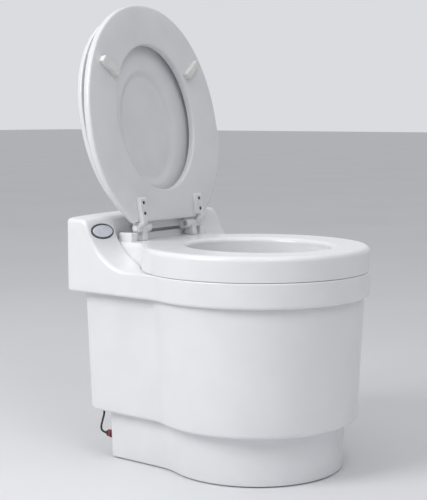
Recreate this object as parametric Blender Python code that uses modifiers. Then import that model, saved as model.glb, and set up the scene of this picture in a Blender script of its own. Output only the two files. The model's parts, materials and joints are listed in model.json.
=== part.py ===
"""Dry flush toilet, drawn with its seat and lid raised.

While it is drawn, the bowl's axis is x = y = 0, x runs across, y runs to the rear and z runs up from
the floor. At the end everything is moved so that the origin is the middle of its footprint's box.

The casings are lofts between keyhole outlines: a round front that narrows through a hollow curve
into a box with rounded corners. The film liner hangs from a lift-out cartridge into a drum, which a
geared motor turns to twist it shut, and a blower draws it down. A battery sits in the base.
"""
import math

import bmesh
import bpy
from mathutils import Matrix, Vector

MM = 0.001
DEG = math.pi / 180.0

# Rounded edges: shares of an edge drawn in, and of its height
TRAY_EDGE_SHARES = ((1.0, 0.0), (0.3, 0.3), (0.0, 1.0))
COVER_EDGE_SHARES = ((0.0, 0.0), (0.15, 0.5), (0.45, 0.85), (1.0, 1.0))
LIP_SHARES = ((1.0, 1.0), (0.45, 0.85), (0.12, 0.45))
LID_EDGE_SHARES = ((0.2, 0.0), (0.0, 0.25), (0.0, 0.55), (0.25, 0.85), (1.0, 1.0))

# Clearances
GAP = 0.3 * MM
OVERRUN = 6.0 * MM
HALF_TURN = math.pi
FULL_TURN = 2.0 * math.pi
SMOOTH_ANGLE = 40.0 * DEG
BEVEL_ANGLE = 50.0 * DEG
MERGE_DISTANCE = 0.01 * MM

# Counts of steps along the outlines
FRONT_STEPS = 12
FILLET_STEPS = 4
CORNER_STEPS = 3
COVER_REAR_STEPS = 4
LEAF_STEPS = 17
RAMP_STEPS = 9
CROWN_STEPS = 8
WIDE_STEPS = 28
MEDIUM_STEPS = 16
SMALL_STEPS = 12
TINY_STEPS = 8

# Heights of the stacked casings
FOOT_SHOWN = 2.0 * MM
BASE_HEIGHT = 84.8 * MM
TUB_HEIGHT = 250.4 * MM
COLLAR_SKIRT = 42.0 * MM
COVER_SEAM = 0.9 * MM
COVER_HEIGHT = 41.0 * MM
DECK_RISE = 84.0 * MM
CROWN_RISE = 6.0 * MM

# Collar and rear deck
COLLAR_RADIUS = 197.0 * MM
COLLAR_SIDE_INSET = 14.9 * MM
COLLAR_REACH = 80.0 * MM
COLLAR_CORNER = 12.0 * MM
COLLAR_FILLET = 80.0 * MM
COLLAR_WALL = 4.0 * MM
COLLAR_EDGE = 5.0 * MM
COLLAR_LEDGE = 39.0 * MM
DECK_EDGE = 3.0 * MM
RAMP_RADIUS = 100.0 * MM
RAMP_ANGLE = 69.0 * DEG
COVER_CLEARANCE = 1.0 * MM

# Tub, set in from the collar at its top and drawn in further by its draft
TUB_INSET_FRONT = 8.0 * MM
TUB_INSET_SIDE = 17.0 * MM
TUB_INSET_REAR = 17.0 * MM
TUB_DRAFT_FRONT = 10.7 * MM
TUB_DRAFT_SIDE = 10.9 * MM
TUB_DRAFT_REAR = 3.5 * MM
TUB_CORNER = 24.0 * MM
TUB_FILLET = 65.0 * MM
TUB_WALL = 4.0 * MM
TUB_EDGE = 6.0 * MM

# Base tray, set in from the bottom of the tub
BASE_INSET_FRONT = 22.3 * MM
BASE_INSET_SIDE = 20.2 * MM
BASE_INSET_REAR = 35.5 * MM
BASE_DRAFT = 2.2 * MM
BASE_CORNER = 8.0 * MM
BASE_FILLET = 130.0 * MM
BASE_WALL = 4.0 * MM
BASE_EDGE = 2.0 * MM
FOOT_RADIUS = 14.0 * MM
FOOT_INSET = 34.0 * MM
FOOT_STUD_RADIUS = 4.0 * MM

# Rim cover
DECK_ARM_WIDTH = 68.1 * MM
COVER_TAB_FILLET = 40.0 * MM
COVER_TAB_CORNER = 10.0 * MM
COVER_OVERHANG = 0.9 * MM
COVER_WALL = 4.0 * MM
COVER_EDGE = 9.0 * MM
MOUTH_RIM_WIDTH = 78.1 * MM
MOUTH_STRETCH = 10.0 * MM
MOUTH_CENTRE_Y = -8.0 * MM
MOUTH_LIP = 9.0 * MM
FUNNEL_STEP = 1.0 * MM
FUNNEL_WALL = 4.0 * MM
PLINTH_INSET = 8.0 * MM
PLINTH_WIDTH = 18.0 * MM
PLINTH_FRONT = 7.5 * MM
PLINTH_HEIGHT = 15.0 * MM
RIDGE_HEIGHT = 11.0 * MM
RIDGE_FRONT = 15.0 * MM
PLINTH_TAPER = 1.5 * MM

# Hinge: the pin's axis stands behind the round front's radius and above the rim cover's top
PIN_BEHIND = 1.0 * MM
PIN_ABOVE_COVER = 21.9 * MM
PIN_RADIUS = 4.0 * MM
PIN_CAP_RADIUS = 6.0 * MM
PIN_CAP_LENGTH = 3.0 * MM
OPEN_ANGLE = 99.84 * DEG
BARREL_RADIUS = 8.0 * MM
HINGE_ROOM = 38.0 * MM
KNUCKLE_WIDTH = 12.6 * MM
POST_WIDTH = 12.4 * MM
LOBE_WIDTH = 10.0 * MM
SIDE_PLAY = 0.4 * MM
POST_HALF_DEPTH = 7.6 * MM
POST_FOOT_REAR = 14.0 * MM
POST_FOOT_FRONT = 10.0 * MM
POST_FOOT_HEIGHT = 4.0 * MM
POST_CROWN_SHARE = 0.1
BOLT_RADIUS = 4.0 * MM
BOLT_LENGTH = 24.0 * MM
BOLT_HEAD = 4.0 * MM
NUT_RADIUS = 11.0 * MM
NUT_HEIGHT = 8.0 * MM
NUT_LOBES = 6
NUT_LOBE_STEPS = 3
NUT_WAVE_SHARE = 0.07

# Seat, measured flat from the pin's axis
SEAT_DROP = 10.4 * MM
SEAT_THICK = 17.0 * MM
SEAT_HALF = 175.0 * MM
SEAT_CENTRE = 173.4 * MM
SEAT_FRONT = 227.7 * MM
SEAT_BACK = 197.2 * MM
SEAT_FRONT_POWER = 2.12
SEAT_BACK_POWER = 1.94
SEAT_BESIDE_ARM = 25.6 * MM
SEAT_REAR_EDGE = 9.8 * MM
HOLE_HALF_X = 101.0 * MM
HOLE_HALF_Y = 130.0 * MM
HOLE_CENTRE = 196.6 * MM
# Section of the seat's ring: shares of the way from its outer edge to its hole, and of its thickness
SEAT_SECTION_SHARES = ((0.09, 0.0), (0.02, 0.07), (0.0, 0.28), (0.0, 0.6), (0.05, 0.87), (0.16, 0.98),
                       (0.45, 1.0), (0.82, 0.96), (0.95, 0.82), (1.0, 0.56), (1.0, 0.24), (0.97, 0.06),
                       (0.88, 0.0))
ARM_OVER_KNUCKLE = 19.0 * MM
ARM_WIDTH = 17.0 * MM
ARM_PROUD = 9.6 * MM
ARM_KINK = 1.2 * MM
ARM_REACH = 53.0 * MM
ARM_STEP = 15.0 * MM
ARM_BAR = 8.6 * MM
ARM_EDGE = 1.1 * MM
LOBE_END_SHARE = -0.55
ARM_SCREW_NEAR = 24.0 * MM
ARM_SCREW_FAR = 43.0 * MM
SCREW_HOLE_RADIUS = 2.6 * MM
SCREW_HOLE_DEPTH = 4.0 * MM
SCREW_RADIUS = 2.2 * MM
BUMPER_LENGTH = 45.0 * MM
BUMPER_WIDTH = 13.0 * MM
BUMPER_EDGE = 2.0 * MM
BUMPER_X = 112.0 * MM
SEAT_BUMPER_Y = 285.0 * MM
LID_BUMPER_Y = 298.0 * MM

# Lid, measured flat from the pin's axis
LID_LIFT = 13.0 * MM
LID_THICK = 12.0 * MM
LID_HALF = 166.0 * MM
LID_CENTRE = 201.5 * MM
LID_FRONT = 188.5 * MM
LID_BACK = 198.0 * MM
LID_POWER = 2.1
LID_BESIDE_KNUCKLE = 18.0 * MM
LID_REAR_EDGE = -2.5 * MM
LID_DISH = 6.0 * MM
LID_DISH_INSET_SHARE = 0.5
LID_DISH_FLAT_HALF = 12.0 * MM
LID_RIM_SHARE = 0.5
STRAP_THICK = 3.6 * MM
STRAP_REACH = 46.0 * MM
KNUCKLE_START_SHARE = 0.72

# Flush button on the left arm of the deck
BUTTON_FROM_SIDE = 34.1 * MM
BUTTON_HEIGHT_SHARE = 0.74
BEZEL_HALF_X = 27.5 * MM
BEZEL_HALF_Y = 14.0 * MM
BEZEL_RIM = 1.4 * MM
BEZEL_SINK = 3.5 * MM
BEZEL_PROUD = 1.6 * MM
BEZEL_DEPTH = 22.0 * MM
BEZEL_FLOOR = 2.4 * MM
SLEEVE_WALL = 1.2 * MM
BUTTON_PLAY = 0.5 * MM
BUTTON_THICK = 5.0 * MM
BUTTON_TRAVEL = 2.2 * MM
BUTTON_PROUD = 2.6 * MM
STEM_RADIUS = 2.6 * MM
STEM_PLAY = 0.4 * MM
SWITCH_SIZE = (20.0 * MM, 9.0 * MM, 11.0 * MM)

# Carrier ring and film cartridge
CARRIER_FLANGE_OUT = 17.0 * MM
CARRIER_WALL = 3.0 * MM
CARRIER_FLANGE_THICK = 3.0 * MM
CARRIER_DEPTH = 78.0 * MM
CARRIER_PLAY = 2.7 * MM
SHELF_STEP = 27.0 * MM
CARTRIDGE_PLAY = 1.5 * MM
CARTRIDGE_WALL = 2.0 * MM
CARTRIDGE_WIDTH = 37.8 * MM
CARTRIDGE_HEIGHT = 62.0 * MM
CORE_LIP = 3.0 * MM
CORE_LIP_THICK = 1.5 * MM
PACK_PLAY = 1.4 * MM
PACK_HEIGHT = 52.0 * MM
CAP_THICK = 4.0 * MM
CAP_LAP = 1.0 * MM
TAB_WIDTH = 26.0 * MM
TAB_RISE = 3.0 * MM
TAB_DEPTH = 16.0 * MM
LINER_WALL = 0.8 * MM
LINER_MOUTH_PLAY = 1.2 * MM
LINER_BELLY_PLAY = 5.0 * MM
LINER_NECK_DROP = 14.0 * MM
GASKET_WIDTH = 9.0 * MM

# Drum, its gear and its bearing
DRUM_INSET = 22.0 * MM
DRUM_WALL = 3.0 * MM
DRUM_LIFT = 13.0 * MM
DRUM_TOP_CLEARANCE = 7.0 * MM
SKIRT_HEIGHT = 14.0 * MM
DRUM_FLOOR_THICK = 3.0 * MM
HUB_RADIUS = 20.0 * MM
HUB_DROP = 20.0 * MM
SPINDLE_RADIUS = 8.0 * MM
SPINDLE_FLANGE_RADIUS = 26.0 * MM
SPINDLE_FLANGE_THICK = 4.0 * MM
BUSH_WALL = 4.0 * MM
GEAR_MODULE = 5.0 * MM
RING_RIM = 14.0 * MM
PINION_TEETH = 12
GEAR_THICK = 9.0 * MM
BACKLASH = 1.3 * MM
ADDENDUM_SHARE = 0.8
DEDENDUM_SHARE = 1.2
PRESSURE_ANGLE = 20.0 * DEG
PINION_SIDE_ROOM = 42.2 * MM
PINION_SHAFT_RADIUS = 5.0 * MM
PINION_HUB_RADIUS = 11.0 * MM
PINION_HUB_HEIGHT = 6.0 * MM
SHAFT_IN_BOX = 8.0 * MM
GEARBOX_RADIUS = 26.0 * MM
GEARBOX_HEIGHT = 26.0 * MM
MOTOR_RADIUS = 19.0 * MM
MOTOR_HEIGHT = 46.0 * MM
MOTOR_SHOULDER = 3.0 * MM
BRACKET_THICK = 3.0 * MM
BRACKET_RADIUS = 33.0 * MM
BRACKET_LEG_RADIUS = 4.5 * MM
BRACKET_HOLE_RADIUS = 12.5 * MM
BRACKET_LEG_TURNS = (0.12, -0.35, 0.62)
LUG_SHARE = 2.0 / 3.0

# Blower
BLOWER_SIDE_ROOM = 19.2 * MM
BLOWER_REAR_ROOM = 87.0 * MM
BLOWER_RADIUS = 47.0 * MM
BLOWER_HEIGHT = 36.0 * MM
BLOWER_WALL = 2.2 * MM
BLOWER_EYE_RADIUS = 19.0 * MM
BLOWER_STAND = 62.0 * MM
BLOWER_LEG_RADIUS = 5.0 * MM
BLOWER_LEG_CIRCLE = 40.0 * MM
BLOWER_LEG_TURNS = (0.5, 1.1, 1.9)
OUTLET_WIDTH = 26.0 * MM
OUTLET_END_CLEARANCE = 12.0 * MM
BLOWER_SHAFT_RADIUS = 3.0 * MM
IMPELLER_RADIUS = 38.0 * MM
IMPELLER_EYE = 23.0 * MM
IMPELLER_HEIGHT = 22.0 * MM
IMPELLER_DISC = 2.6 * MM
IMPELLER_HUB_RADIUS = 9.0 * MM
IMPELLER_CLEARANCE = 4.0 * MM
IMPELLER_HUB_SHARE = 2.0 / 3.0
IMPELLER_BLADES = 20
BLADE_SWEEP_SHARE = 0.9
BLADE_WIDTH_SHARE = 0.3
BLOWER_MOTOR_RADIUS = 17.0 * MM
BLOWER_MOTOR_HEIGHT = 30.0 * MM

# Rear panel, board, duct and wires on the tub's rear wall
PANEL_SIDE_ROOM = 32.2 * MM
PANEL_VENT_ROOM = 24.0 * MM
PANEL_HEIGHT = 128.0 * MM
PANEL_BOTTOM = 62.0 * MM
PANEL_THICK = 3.0 * MM
PANEL_LAP = 7.0 * MM
VENT_HALF = 30.0 * MM
VENT_SLOT = 4.0 * MM
VENT_PITCH = 9.0 * MM
VENT_COUNT = 5
DUCT_FLANGE = 7.0 * MM
DUCT_WALL = 2.0 * MM
BOARD_MARGIN = 19.0 * MM
BOARD_HEIGHT = 62.0 * MM
BOARD_THICK = 1.6 * MM
BOARD_STAND = 9.0 * MM
BOARD_STAND_RADIUS = 3.0 * MM
BOARD_BOTTOM = 118.0 * MM
RELAY_SIZE = (18.0 * MM, 14.0 * MM, 15.0 * MM)
CHIP_SIZE = (22.0 * MM, 4.0 * MM, 12.0 * MM)
WIRE_RADIUS = 2.0 * MM
WIRE_STEPS = 15

# Battery and its strap
BATTERY_WIDE = 151.0 * MM
BATTERY_DEEP = 98.0 * MM
BATTERY_HEADROOM = 15.8 * MM
BATTERY_REAR_ROOM = 103.0 * MM
TERMINAL_RADIUS = 4.0 * MM
TERMINAL_HEIGHT = 6.0 * MM
TERMINAL_INSET = 16.0 * MM
STRAP_BAND = 18.0 * MM
STRAP_METAL = 1.5 * MM
STRAP_FOOT = 16.0 * MM
BATTERY_EDGE = 3.0 * MM

# Power lead from the tub to the base
SOCKET_Z = 38.0 * MM
SOCKET_RADIUS = 7.6 * MM
SOCKET_FLANGE = 10.5 * MM
SOCKET_FLANGE_THICK = 2.0 * MM
SOCKET_DEPTH = 14.0 * MM
SOCKET_BORE = 4.2 * MM
PLUG_RADIUS = 6.2 * MM
PLUG_LENGTH = 16.0 * MM
PLUG_NOSE_RADIUS = 3.8 * MM
PLUG_NOSE_LENGTH = 9.0 * MM
PLUG_TAIL_RADIUS = 3.4 * MM
PLUG_TAIL_LENGTH = 6.0 * MM
RING_LENGTH = 3.4 * MM
RING_PROUD = 0.9 * MM
GLAND_SIDE_ROOM = 30.2 * MM
GLAND_FROM_REAR = 14.0 * MM
GLAND_RADIUS = 5.5 * MM
GLAND_NECK_RADIUS = 3.6 * MM
GLAND_LENGTH = 8.0 * MM
LEAD_RADIUS = 1.75 * MM
LEAD_STEPS = 19
LEAD_ACROSS = 6.0 * MM
# The lead's route from the gland: across, to the rear, and down from the tub's floor
LEAD_ROUTE = ((0.0, 0.0, 13.1 * MM), (0.5 * MM, 4.0 * MM, 25.1 * MM), (2.0 * MM, 9.0 * MM, 37.1 * MM),
              (4.0 * MM, 10.0 * MM, 45.1 * MM))

# Values that follow from the sizes above
COLLAR_HALF = COLLAR_RADIUS - COLLAR_SIDE_INSET
COLLAR_REAR = COLLAR_RADIUS + COLLAR_REACH
COLLAR_HOLE_RADIUS = COLLAR_RADIUS - COLLAR_LEDGE
COVER_TAB_HALF = COLLAR_HALF - DECK_ARM_WIDTH
PLINTH_OUT = COVER_TAB_HALF - PLINTH_INSET
PLINTH_IN = PLINTH_OUT - PLINTH_WIDTH
PIN_Y = COLLAR_RADIUS + PIN_BEHIND
KNUCKLE_IN = PLINTH_IN - HINGE_ROOM
ARM_IN = KNUCKLE_IN + ARM_OVER_KNUCKLE
SEAT_REAR_HALF = ARM_IN + SEAT_BESIDE_ARM
LID_TAB_HALF = KNUCKLE_IN + LID_BESIDE_KNUCKLE
LID_DISH_INSET = LID_TAB_HALF * LID_DISH_INSET_SHARE
LID_DISH_SLOPE = LID_TAB_HALF - LID_DISH_INSET - LID_DISH_FLAT_HALF
BUTTON_X = COLLAR_HALF - BUTTON_FROM_SIDE
TUB_LOW_HALF = COLLAR_HALF - TUB_INSET_SIDE - TUB_DRAFT_SIDE
TUB_INNER_HALF = TUB_LOW_HALF - TUB_WALL
BASE_BOTTOM = FOOT_SHOWN
BASE_TOP = BASE_BOTTOM + BASE_HEIGHT
TUB_BOTTOM = BASE_TOP + GAP
TUB_TOP = TUB_BOTTOM + TUB_HEIGHT
COLLAR_TOP = TUB_TOP + GAP + COLLAR_WALL
COLLAR_BOTTOM = COLLAR_TOP - COLLAR_SKIRT
COVER_BOTTOM = COLLAR_TOP + COVER_SEAM
COVER_TOP = COVER_BOTTOM + COVER_HEIGHT
DECK_TOP = COLLAR_TOP + DECK_RISE
PIN_Z = COVER_TOP + PIN_ABOVE_COVER
LID_BACK_FACE = LID_LIFT + LID_THICK
TUB_FLOOR = TUB_BOTTOM + TUB_WALL


def lid_rest_y(height):
    """Where the raised lid's outer face is at a height: the deck's front edge stands there."""
    along = (height - PIN_Z - LID_BACK_FACE * math.cos(OPEN_ANGLE)) / math.sin(OPEN_ANGLE)
    return PIN_Y + along * -math.cos(OPEN_ANGLE) + LID_BACK_FACE * math.sin(OPEN_ANGLE)


DECK_FRONT = lid_rest_y(DECK_TOP + CROWN_RISE) + GAP
COVER_RADIUS = COLLAR_RADIUS - COVER_OVERHANG
MOUTH_HALF_X = COVER_RADIUS - MOUTH_RIM_WIDTH
MOUTH_HALF_Y = MOUTH_HALF_X + MOUTH_STRETCH
COVER_REAR = DECK_FRONT - COVER_CLEARANCE
CARRIER_FLANGE_BOTTOM = COLLAR_TOP + GAP
CARRIER_FLANGE_TOP = CARRIER_FLANGE_BOTTOM + CARRIER_FLANGE_THICK
CARRIER_OUT = COLLAR_HOLE_RADIUS - CARRIER_PLAY
SHELF_BOTTOM = CARRIER_FLANGE_TOP - CARRIER_DEPTH
SHELF_TOP = SHELF_BOTTOM + CARRIER_WALL
CARTRIDGE_OUT = CARRIER_OUT - CARRIER_WALL - CARTRIDGE_PLAY
CARTRIDGE_IN_RADIUS = CARTRIDGE_OUT - CARTRIDGE_WIDTH
FUNNEL_RADIUS = CARTRIDGE_IN_RADIUS + FUNNEL_STEP
SHELF_RADIUS = CARTRIDGE_IN_RADIUS + SHELF_STEP
CARTRIDGE_BOTTOM = SHELF_TOP + GAP
CARTRIDGE_TOP = CARTRIDGE_BOTTOM + CARTRIDGE_HEIGHT
CAP_BOTTOM = CARTRIDGE_TOP + GAP
CAP_TOP = CAP_BOTTOM + CAP_THICK
FUNNEL_BOTTOM = COVER_BOTTOM + COVER_WALL
DRUM_RADIUS = COLLAR_HOLE_RADIUS - DRUM_INSET
DRUM_BOTTOM = TUB_FLOOR + DRUM_LIFT
DRUM_TOP = SHELF_BOTTOM - DRUM_TOP_CLEARANCE
DRUM_FLOOR = DRUM_BOTTOM + SKIRT_HEIGHT
HUB_BOTTOM = DRUM_FLOOR - HUB_DROP
BUSH_RADIUS = SPINDLE_RADIUS + GAP + BUSH_WALL
RING_TEETH = round((DRUM_RADIUS + RING_RIM) * 2 / GEAR_MODULE)
RING_PITCH = GEAR_MODULE * RING_TEETH / 2
PINION_PITCH = GEAR_MODULE * PINION_TEETH / 2
GEAR_DISTANCE = RING_PITCH + PINION_PITCH
PINION_ACROSS = TUB_INNER_HALF - PINION_SIDE_ROOM
PINION_BACK = math.sqrt(GEAR_DISTANCE ** 2 - PINION_ACROSS ** 2)
GEAR_BOTTOM = DRUM_BOTTOM
GEAR_TOP = GEAR_BOTTOM + GEAR_THICK
BRACKET_BOTTOM = GEAR_TOP + PINION_HUB_HEIGHT + GAP
GEARBOX_BOTTOM = BRACKET_BOTTOM + BRACKET_THICK + GAP
BLOWER_X = TUB_INNER_HALF - BLOWER_RADIUS - BLOWER_SIDE_ROOM
BLOWER_Y = COLLAR_REAR - BLOWER_REAR_ROOM
BLOWER_BOTTOM = TUB_FLOOR + BLOWER_STAND
VENT_X = BLOWER_X
VENT_Z = BLOWER_BOTTOM + BLOWER_HEIGHT / 2 - TUB_BOTTOM
PANEL_LEFT = PANEL_SIDE_ROOM - TUB_INNER_HALF
PANEL_RIGHT = VENT_X - VENT_HALF - PANEL_VENT_ROOM
PANEL_HALF = (PANEL_RIGHT - PANEL_LEFT) / 2
PANEL_X = (PANEL_RIGHT + PANEL_LEFT) / 2
BOARD_WIDTH = (PANEL_HALF - PANEL_LAP - BOARD_MARGIN) * 2
BOARD_X = PANEL_X
BATTERY_HIGH = BASE_HEIGHT - BASE_WALL - BATTERY_HEADROOM
GLAND_X = TUB_LOW_HALF - GLAND_SIDE_ROOM
SOCKET_X = GLAND_X - LEAD_ACROSS


def tidy_scene():
    """Remove what the scene holds and make the collections."""
    for thing in list(bpy.data.objects):
        bpy.data.objects.remove(thing, do_unlink=True)
    parts = bpy.data.collections.new("dry_flush_toilet")
    cutters = bpy.data.collections.new("cutters")
    bpy.context.scene.collection.children.link(parts)
    bpy.context.scene.collection.children.link(cutters)
    return parts, cutters


PARTS, CUTTERS = tidy_scene()


def finish(name, colour, roughness, metallic=0.0):
    """A Principled material."""
    look = bpy.data.materials.new(name)
    look.use_nodes = True
    shader = look.node_tree.nodes["Principled BSDF"]
    shader.inputs["Base Color"].default_value = (*colour, 1.0)
    shader.inputs["Roughness"].default_value = roughness
    shader.inputs["Metallic"].default_value = metallic
    look.diffuse_color = (*colour, 1.0)
    return look


GLOSS_WHITE = finish("gloss_white_plastic", (0.86, 0.86, 0.87), 0.22)
SEAT_WHITE = finish("seat_enamel_white", (0.83, 0.83, 0.84), 0.25)
HINGE_WHITE = finish("hinge_white_nylon", (0.85, 0.85, 0.85), 0.35)
BUMPER_WHITE = finish("bumper_white_rubber", (0.80, 0.80, 0.79), 0.6)
BLACK_RUBBER = finish("black_rubber", (0.03, 0.03, 0.03), 0.75)
BLACK_PLASTIC = finish("black_plastic", (0.04, 0.04, 0.045), 0.45)
GREY_PLASTIC = finish("grey_plastic", (0.35, 0.36, 0.37), 0.5)
SILVER_FACE = finish("silver_face", (0.72, 0.74, 0.78), 0.3, 0.4)
DARK_RING = finish("dark_ring", (0.06, 0.07, 0.08), 0.4)
RED_RING = finish("red_ring", (0.55, 0.02, 0.03), 0.4)
FILM_SILVER = finish("metallised_film", (0.70, 0.71, 0.73), 0.35, 0.8)
STEEL = finish("zinc_steel", (0.62, 0.62, 0.61), 0.35, 1.0)
BRASS = finish("brass", (0.75, 0.58, 0.28), 0.35, 1.0)
ACETAL = finish("acetal_natural", (0.78, 0.77, 0.72), 0.4)
CIRCUIT_GREEN = finish("circuit_board", (0.03, 0.22, 0.09), 0.5)
GASKET_GREY = finish("foam_gasket", (0.18, 0.18, 0.19), 0.9)


def empty(name, parent, place=(0.0, 0.0, 0.0), turn=(0.0, 0.0, 0.0)):
    """An empty that carries pieces in a frame of their own."""
    carrier = bpy.data.objects.new(name, None)
    carrier.location = place
    carrier.rotation_euler = turn
    carrier.parent = parent
    PARTS.objects.link(carrier)
    return carrier


FRAME = empty("toilet_frame", None)
SEAT_PIVOT = empty("seat_pivot", FRAME, (0.0, PIN_Y, PIN_Z), (-OPEN_ANGLE, 0.0, 0.0))
LID_PIVOT = empty("lid_pivot", FRAME, (0.0, PIN_Y, PIN_Z), (-OPEN_ANGLE, 0.0, 0.0))


def put(name, mesh, look, parent=FRAME, place=(0.0, 0.0, 0.0), turn=(0.0, 0.0, 0.0)):
    """Make an object of a mesh and give it its material, parent and place."""
    mesh.name = name
    mesh.materials.clear()
    mesh.materials.append(look)
    thing = bpy.data.objects.new(name, mesh)
    thing.location = place
    thing.rotation_euler = turn
    thing.parent = parent
    PARTS.objects.link(thing)
    return thing


def mesh_of(bm, smooth=False):
    """Turn a bmesh into mesh data with its faces pointing out."""
    bmesh.ops.recalc_face_normals(bm, faces=bm.faces)
    mesh = bpy.data.meshes.new("form")
    bm.to_mesh(mesh)
    bm.free()
    if smooth:
        mesh.shade_smooth()
    return mesh


def as_cutter(thing):
    """Hide a cutter from renders and move it to the cutters' collection."""
    PARTS.objects.unlink(thing)
    CUTTERS.objects.link(thing)
    thing.hide_render = True
    thing.display_type = "WIRE"
    return thing


def combine(target, tool, operation):
    """Add a Boolean of another object, which becomes a cutter."""
    change = target.modifiers.new(tool.name, "BOOLEAN")
    change.operation = operation
    change.solver = "EXACT"
    change.object = as_cutter(tool)
    return target


def cut(target, *tools):
    """Take tools away from a piece."""
    for tool in tools:
        combine(target, tool, "DIFFERENCE")
    return target


def fuse(target, *tools):
    """Join tools to a piece."""
    for tool in tools:
        combine(target, tool, "UNION")
    return target


def ring_mesh(rings, endless=False, smooth=True):
    """Loft through rings of equal count, capped at both ends or closed into a tube."""
    bm = bmesh.new()
    rows = [[bm.verts.new(point) for point in ring] for ring in rings]
    pairs = list(zip(rows, rows[1:]))
    if endless:
        pairs.append((rows[-1], rows[0]))
    count = len(rows[0])
    for low, high in pairs:
        for i in range(count):
            j = (i + 1) % count
            bm.faces.new((low[i], low[j], high[j], high[i]))
    if not endless:
        bm.faces.new(list(reversed(rows[0])))
        bm.faces.new(rows[-1])
    mesh = mesh_of(bm, smooth)
    if smooth:
        mesh.set_sharp_from_angle(angle=SMOOTH_ANGLE)
    return mesh


def level(outline, z):
    """Lift a flat outline to a height."""
    return [(x, y, z) for x, y in outline]


def block_mesh(size, centre=(0.0, 0.0, 0.0), edge=0.0, edge_steps=2):
    """A box, with its edges rounded where an edge radius is given."""
    bm = bmesh.new()
    bmesh.ops.create_cube(bm, size=1.0)
    bmesh.ops.scale(bm, vec=Vector(size), verts=bm.verts)
    if edge:
        bmesh.ops.bevel(bm, geom=bm.edges[:], offset=edge, segments=edge_steps, affect="EDGES")
    bmesh.ops.translate(bm, vec=Vector(centre), verts=bm.verts)
    return mesh_of(bm)


AXIS_TURNS = {"X": Matrix.Rotation(HALF_TURN / 2, 4, "Y"), "Y": Matrix.Rotation(-HALF_TURN / 2, 4, "X"),
              "Z": Matrix.Identity(4)}


def rod_mesh(radius, length, centre, axis="Z", steps=SMALL_STEPS, end_radius=None):
    """A cylinder or cone about a line through its centre."""
    bm = bmesh.new()
    top = radius if end_radius is None else end_radius
    bmesh.ops.create_cone(bm, cap_ends=True, segments=steps, radius1=radius, radius2=top, depth=length)
    bmesh.ops.transform(bm, matrix=Matrix.Translation(centre) @ AXIS_TURNS[axis], verts=bm.verts)
    mesh = mesh_of(bm, smooth=True)
    mesh.set_sharp_from_angle(angle=SMOOTH_ANGLE)
    return mesh


def merged_mesh(meshes):
    """Gather separate solids in one mesh."""
    bm = bmesh.new()
    for mesh in meshes:
        bm.from_mesh(mesh)
    return mesh_of(bm, smooth=False)


def turned(name, profile, look, parent=FRAME, place=(0.0, 0.0, 0.0), turn=(0.0, 0.0, 0.0),
           steps=WIDE_STEPS, ring=False):
    """A turned piece: its profile of radius and height runs down its outer side."""
    bm = bmesh.new()
    points = [bm.verts.new((radius, 0.0, z)) for radius, z in profile]
    for near, far in zip(points, points[1:]):
        bm.edges.new((near, far))
    if ring:
        bm.edges.new((points[-1], points[0]))
    mesh = bpy.data.meshes.new(name)
    bm.to_mesh(mesh)
    bm.free()
    thing = put(name, mesh, look, parent, place, turn)
    screw = thing.modifiers.new("turn", "SCREW")
    screw.axis = "Z"
    screw.steps = steps
    screw.render_steps = steps
    screw.use_merge_vertices = True
    screw.merge_threshold = MERGE_DISTANCE
    screw.use_smooth_shade = True
    return thing


def tube(name, points, radius, look, parent=FRAME):
    """A round wire through points."""
    curve = bpy.data.curves.new(name, "CURVE")
    curve.dimensions = "3D"
    curve.bevel_depth = radius
    curve.bevel_resolution = 2
    curve.use_fill_caps = True
    line = curve.splines.new("POLY")
    line.points.add(len(points) - 1)
    for spot, point in zip(line.points, points):
        spot.co = (*point, 1.0)
    curve.materials.append(look)
    thing = bpy.data.objects.new(name, curve)
    thing.parent = parent
    PARTS.objects.link(thing)
    return thing


def smooth_route(knots, steps):
    """Points spaced evenly along a smooth curve through knots."""
    spots = [Vector(knot) for knot in knots]
    spots = [spots[0] * 2 - spots[1], *spots, spots[-1] * 2 - spots[-2]]
    fine = []
    share_steps = 24
    for a, b, c, d in zip(spots, spots[1:], spots[2:], spots[3:]):
        for i in range(share_steps):
            t = i / share_steps
            fine.append(0.5 * ((2 * b) + (c - a) * t + (2 * a - 5 * b + 4 * c - d) * t ** 2
                               + (3 * b - a - 3 * c + d) * t ** 3))
    fine.append(spots[-2])
    reach = [0.0]
    for near, far in zip(fine, fine[1:]):
        reach.append(reach[-1] + (far - near).length)
    points = []
    place = 0
    for i in range(steps + 1):
        goal = reach[-1] * i / steps
        while place < len(reach) - 2 and reach[place + 1] < goal:
            place += 1
        share = (goal - reach[place]) / (reach[place + 1] - reach[place])
        points.append(fine[place].lerp(fine[place + 1], share))
    return points


def arc(centre_x, centre_y, radius, start, end, steps):
    """Points along an arc, both ends included."""
    angles = [start + (end - start) * i / steps for i in range(steps + 1)]
    return [(centre_x + radius * math.cos(a), centre_y + radius * math.sin(a)) for a in angles]


def mirrored(right):
    """Close a right half, which starts on the middle line, with its mirror image."""
    return right + [(-x, y) for x, y in reversed(right[1:])]


def keyhole(radius, half, rear, corner, fillet, rear_steps=0):
    """Round front, hollow curve at each side, then a box with rounded corners and points on its rear edge."""
    hollow_x = half + fillet
    hollow_y = math.sqrt((radius + fillet) ** 2 - hollow_x ** 2)
    touch = math.atan2(hollow_y, hollow_x)
    right = arc(0.0, 0.0, radius, -HALF_TURN / 2, touch, FRONT_STEPS)
    right += arc(hollow_x, hollow_y, fillet, touch + HALF_TURN, HALF_TURN, FILLET_STEPS)[1:]
    right += arc(half - corner, rear - corner, corner, 0.0, HALF_TURN / 2, CORNER_STEPS)
    spacing = (half - corner) / (2 * rear_steps + 1)
    right += [(spacing * (2 * i + 1), rear) for i in reversed(range(rear_steps))]
    return mirrored(right)


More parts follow.
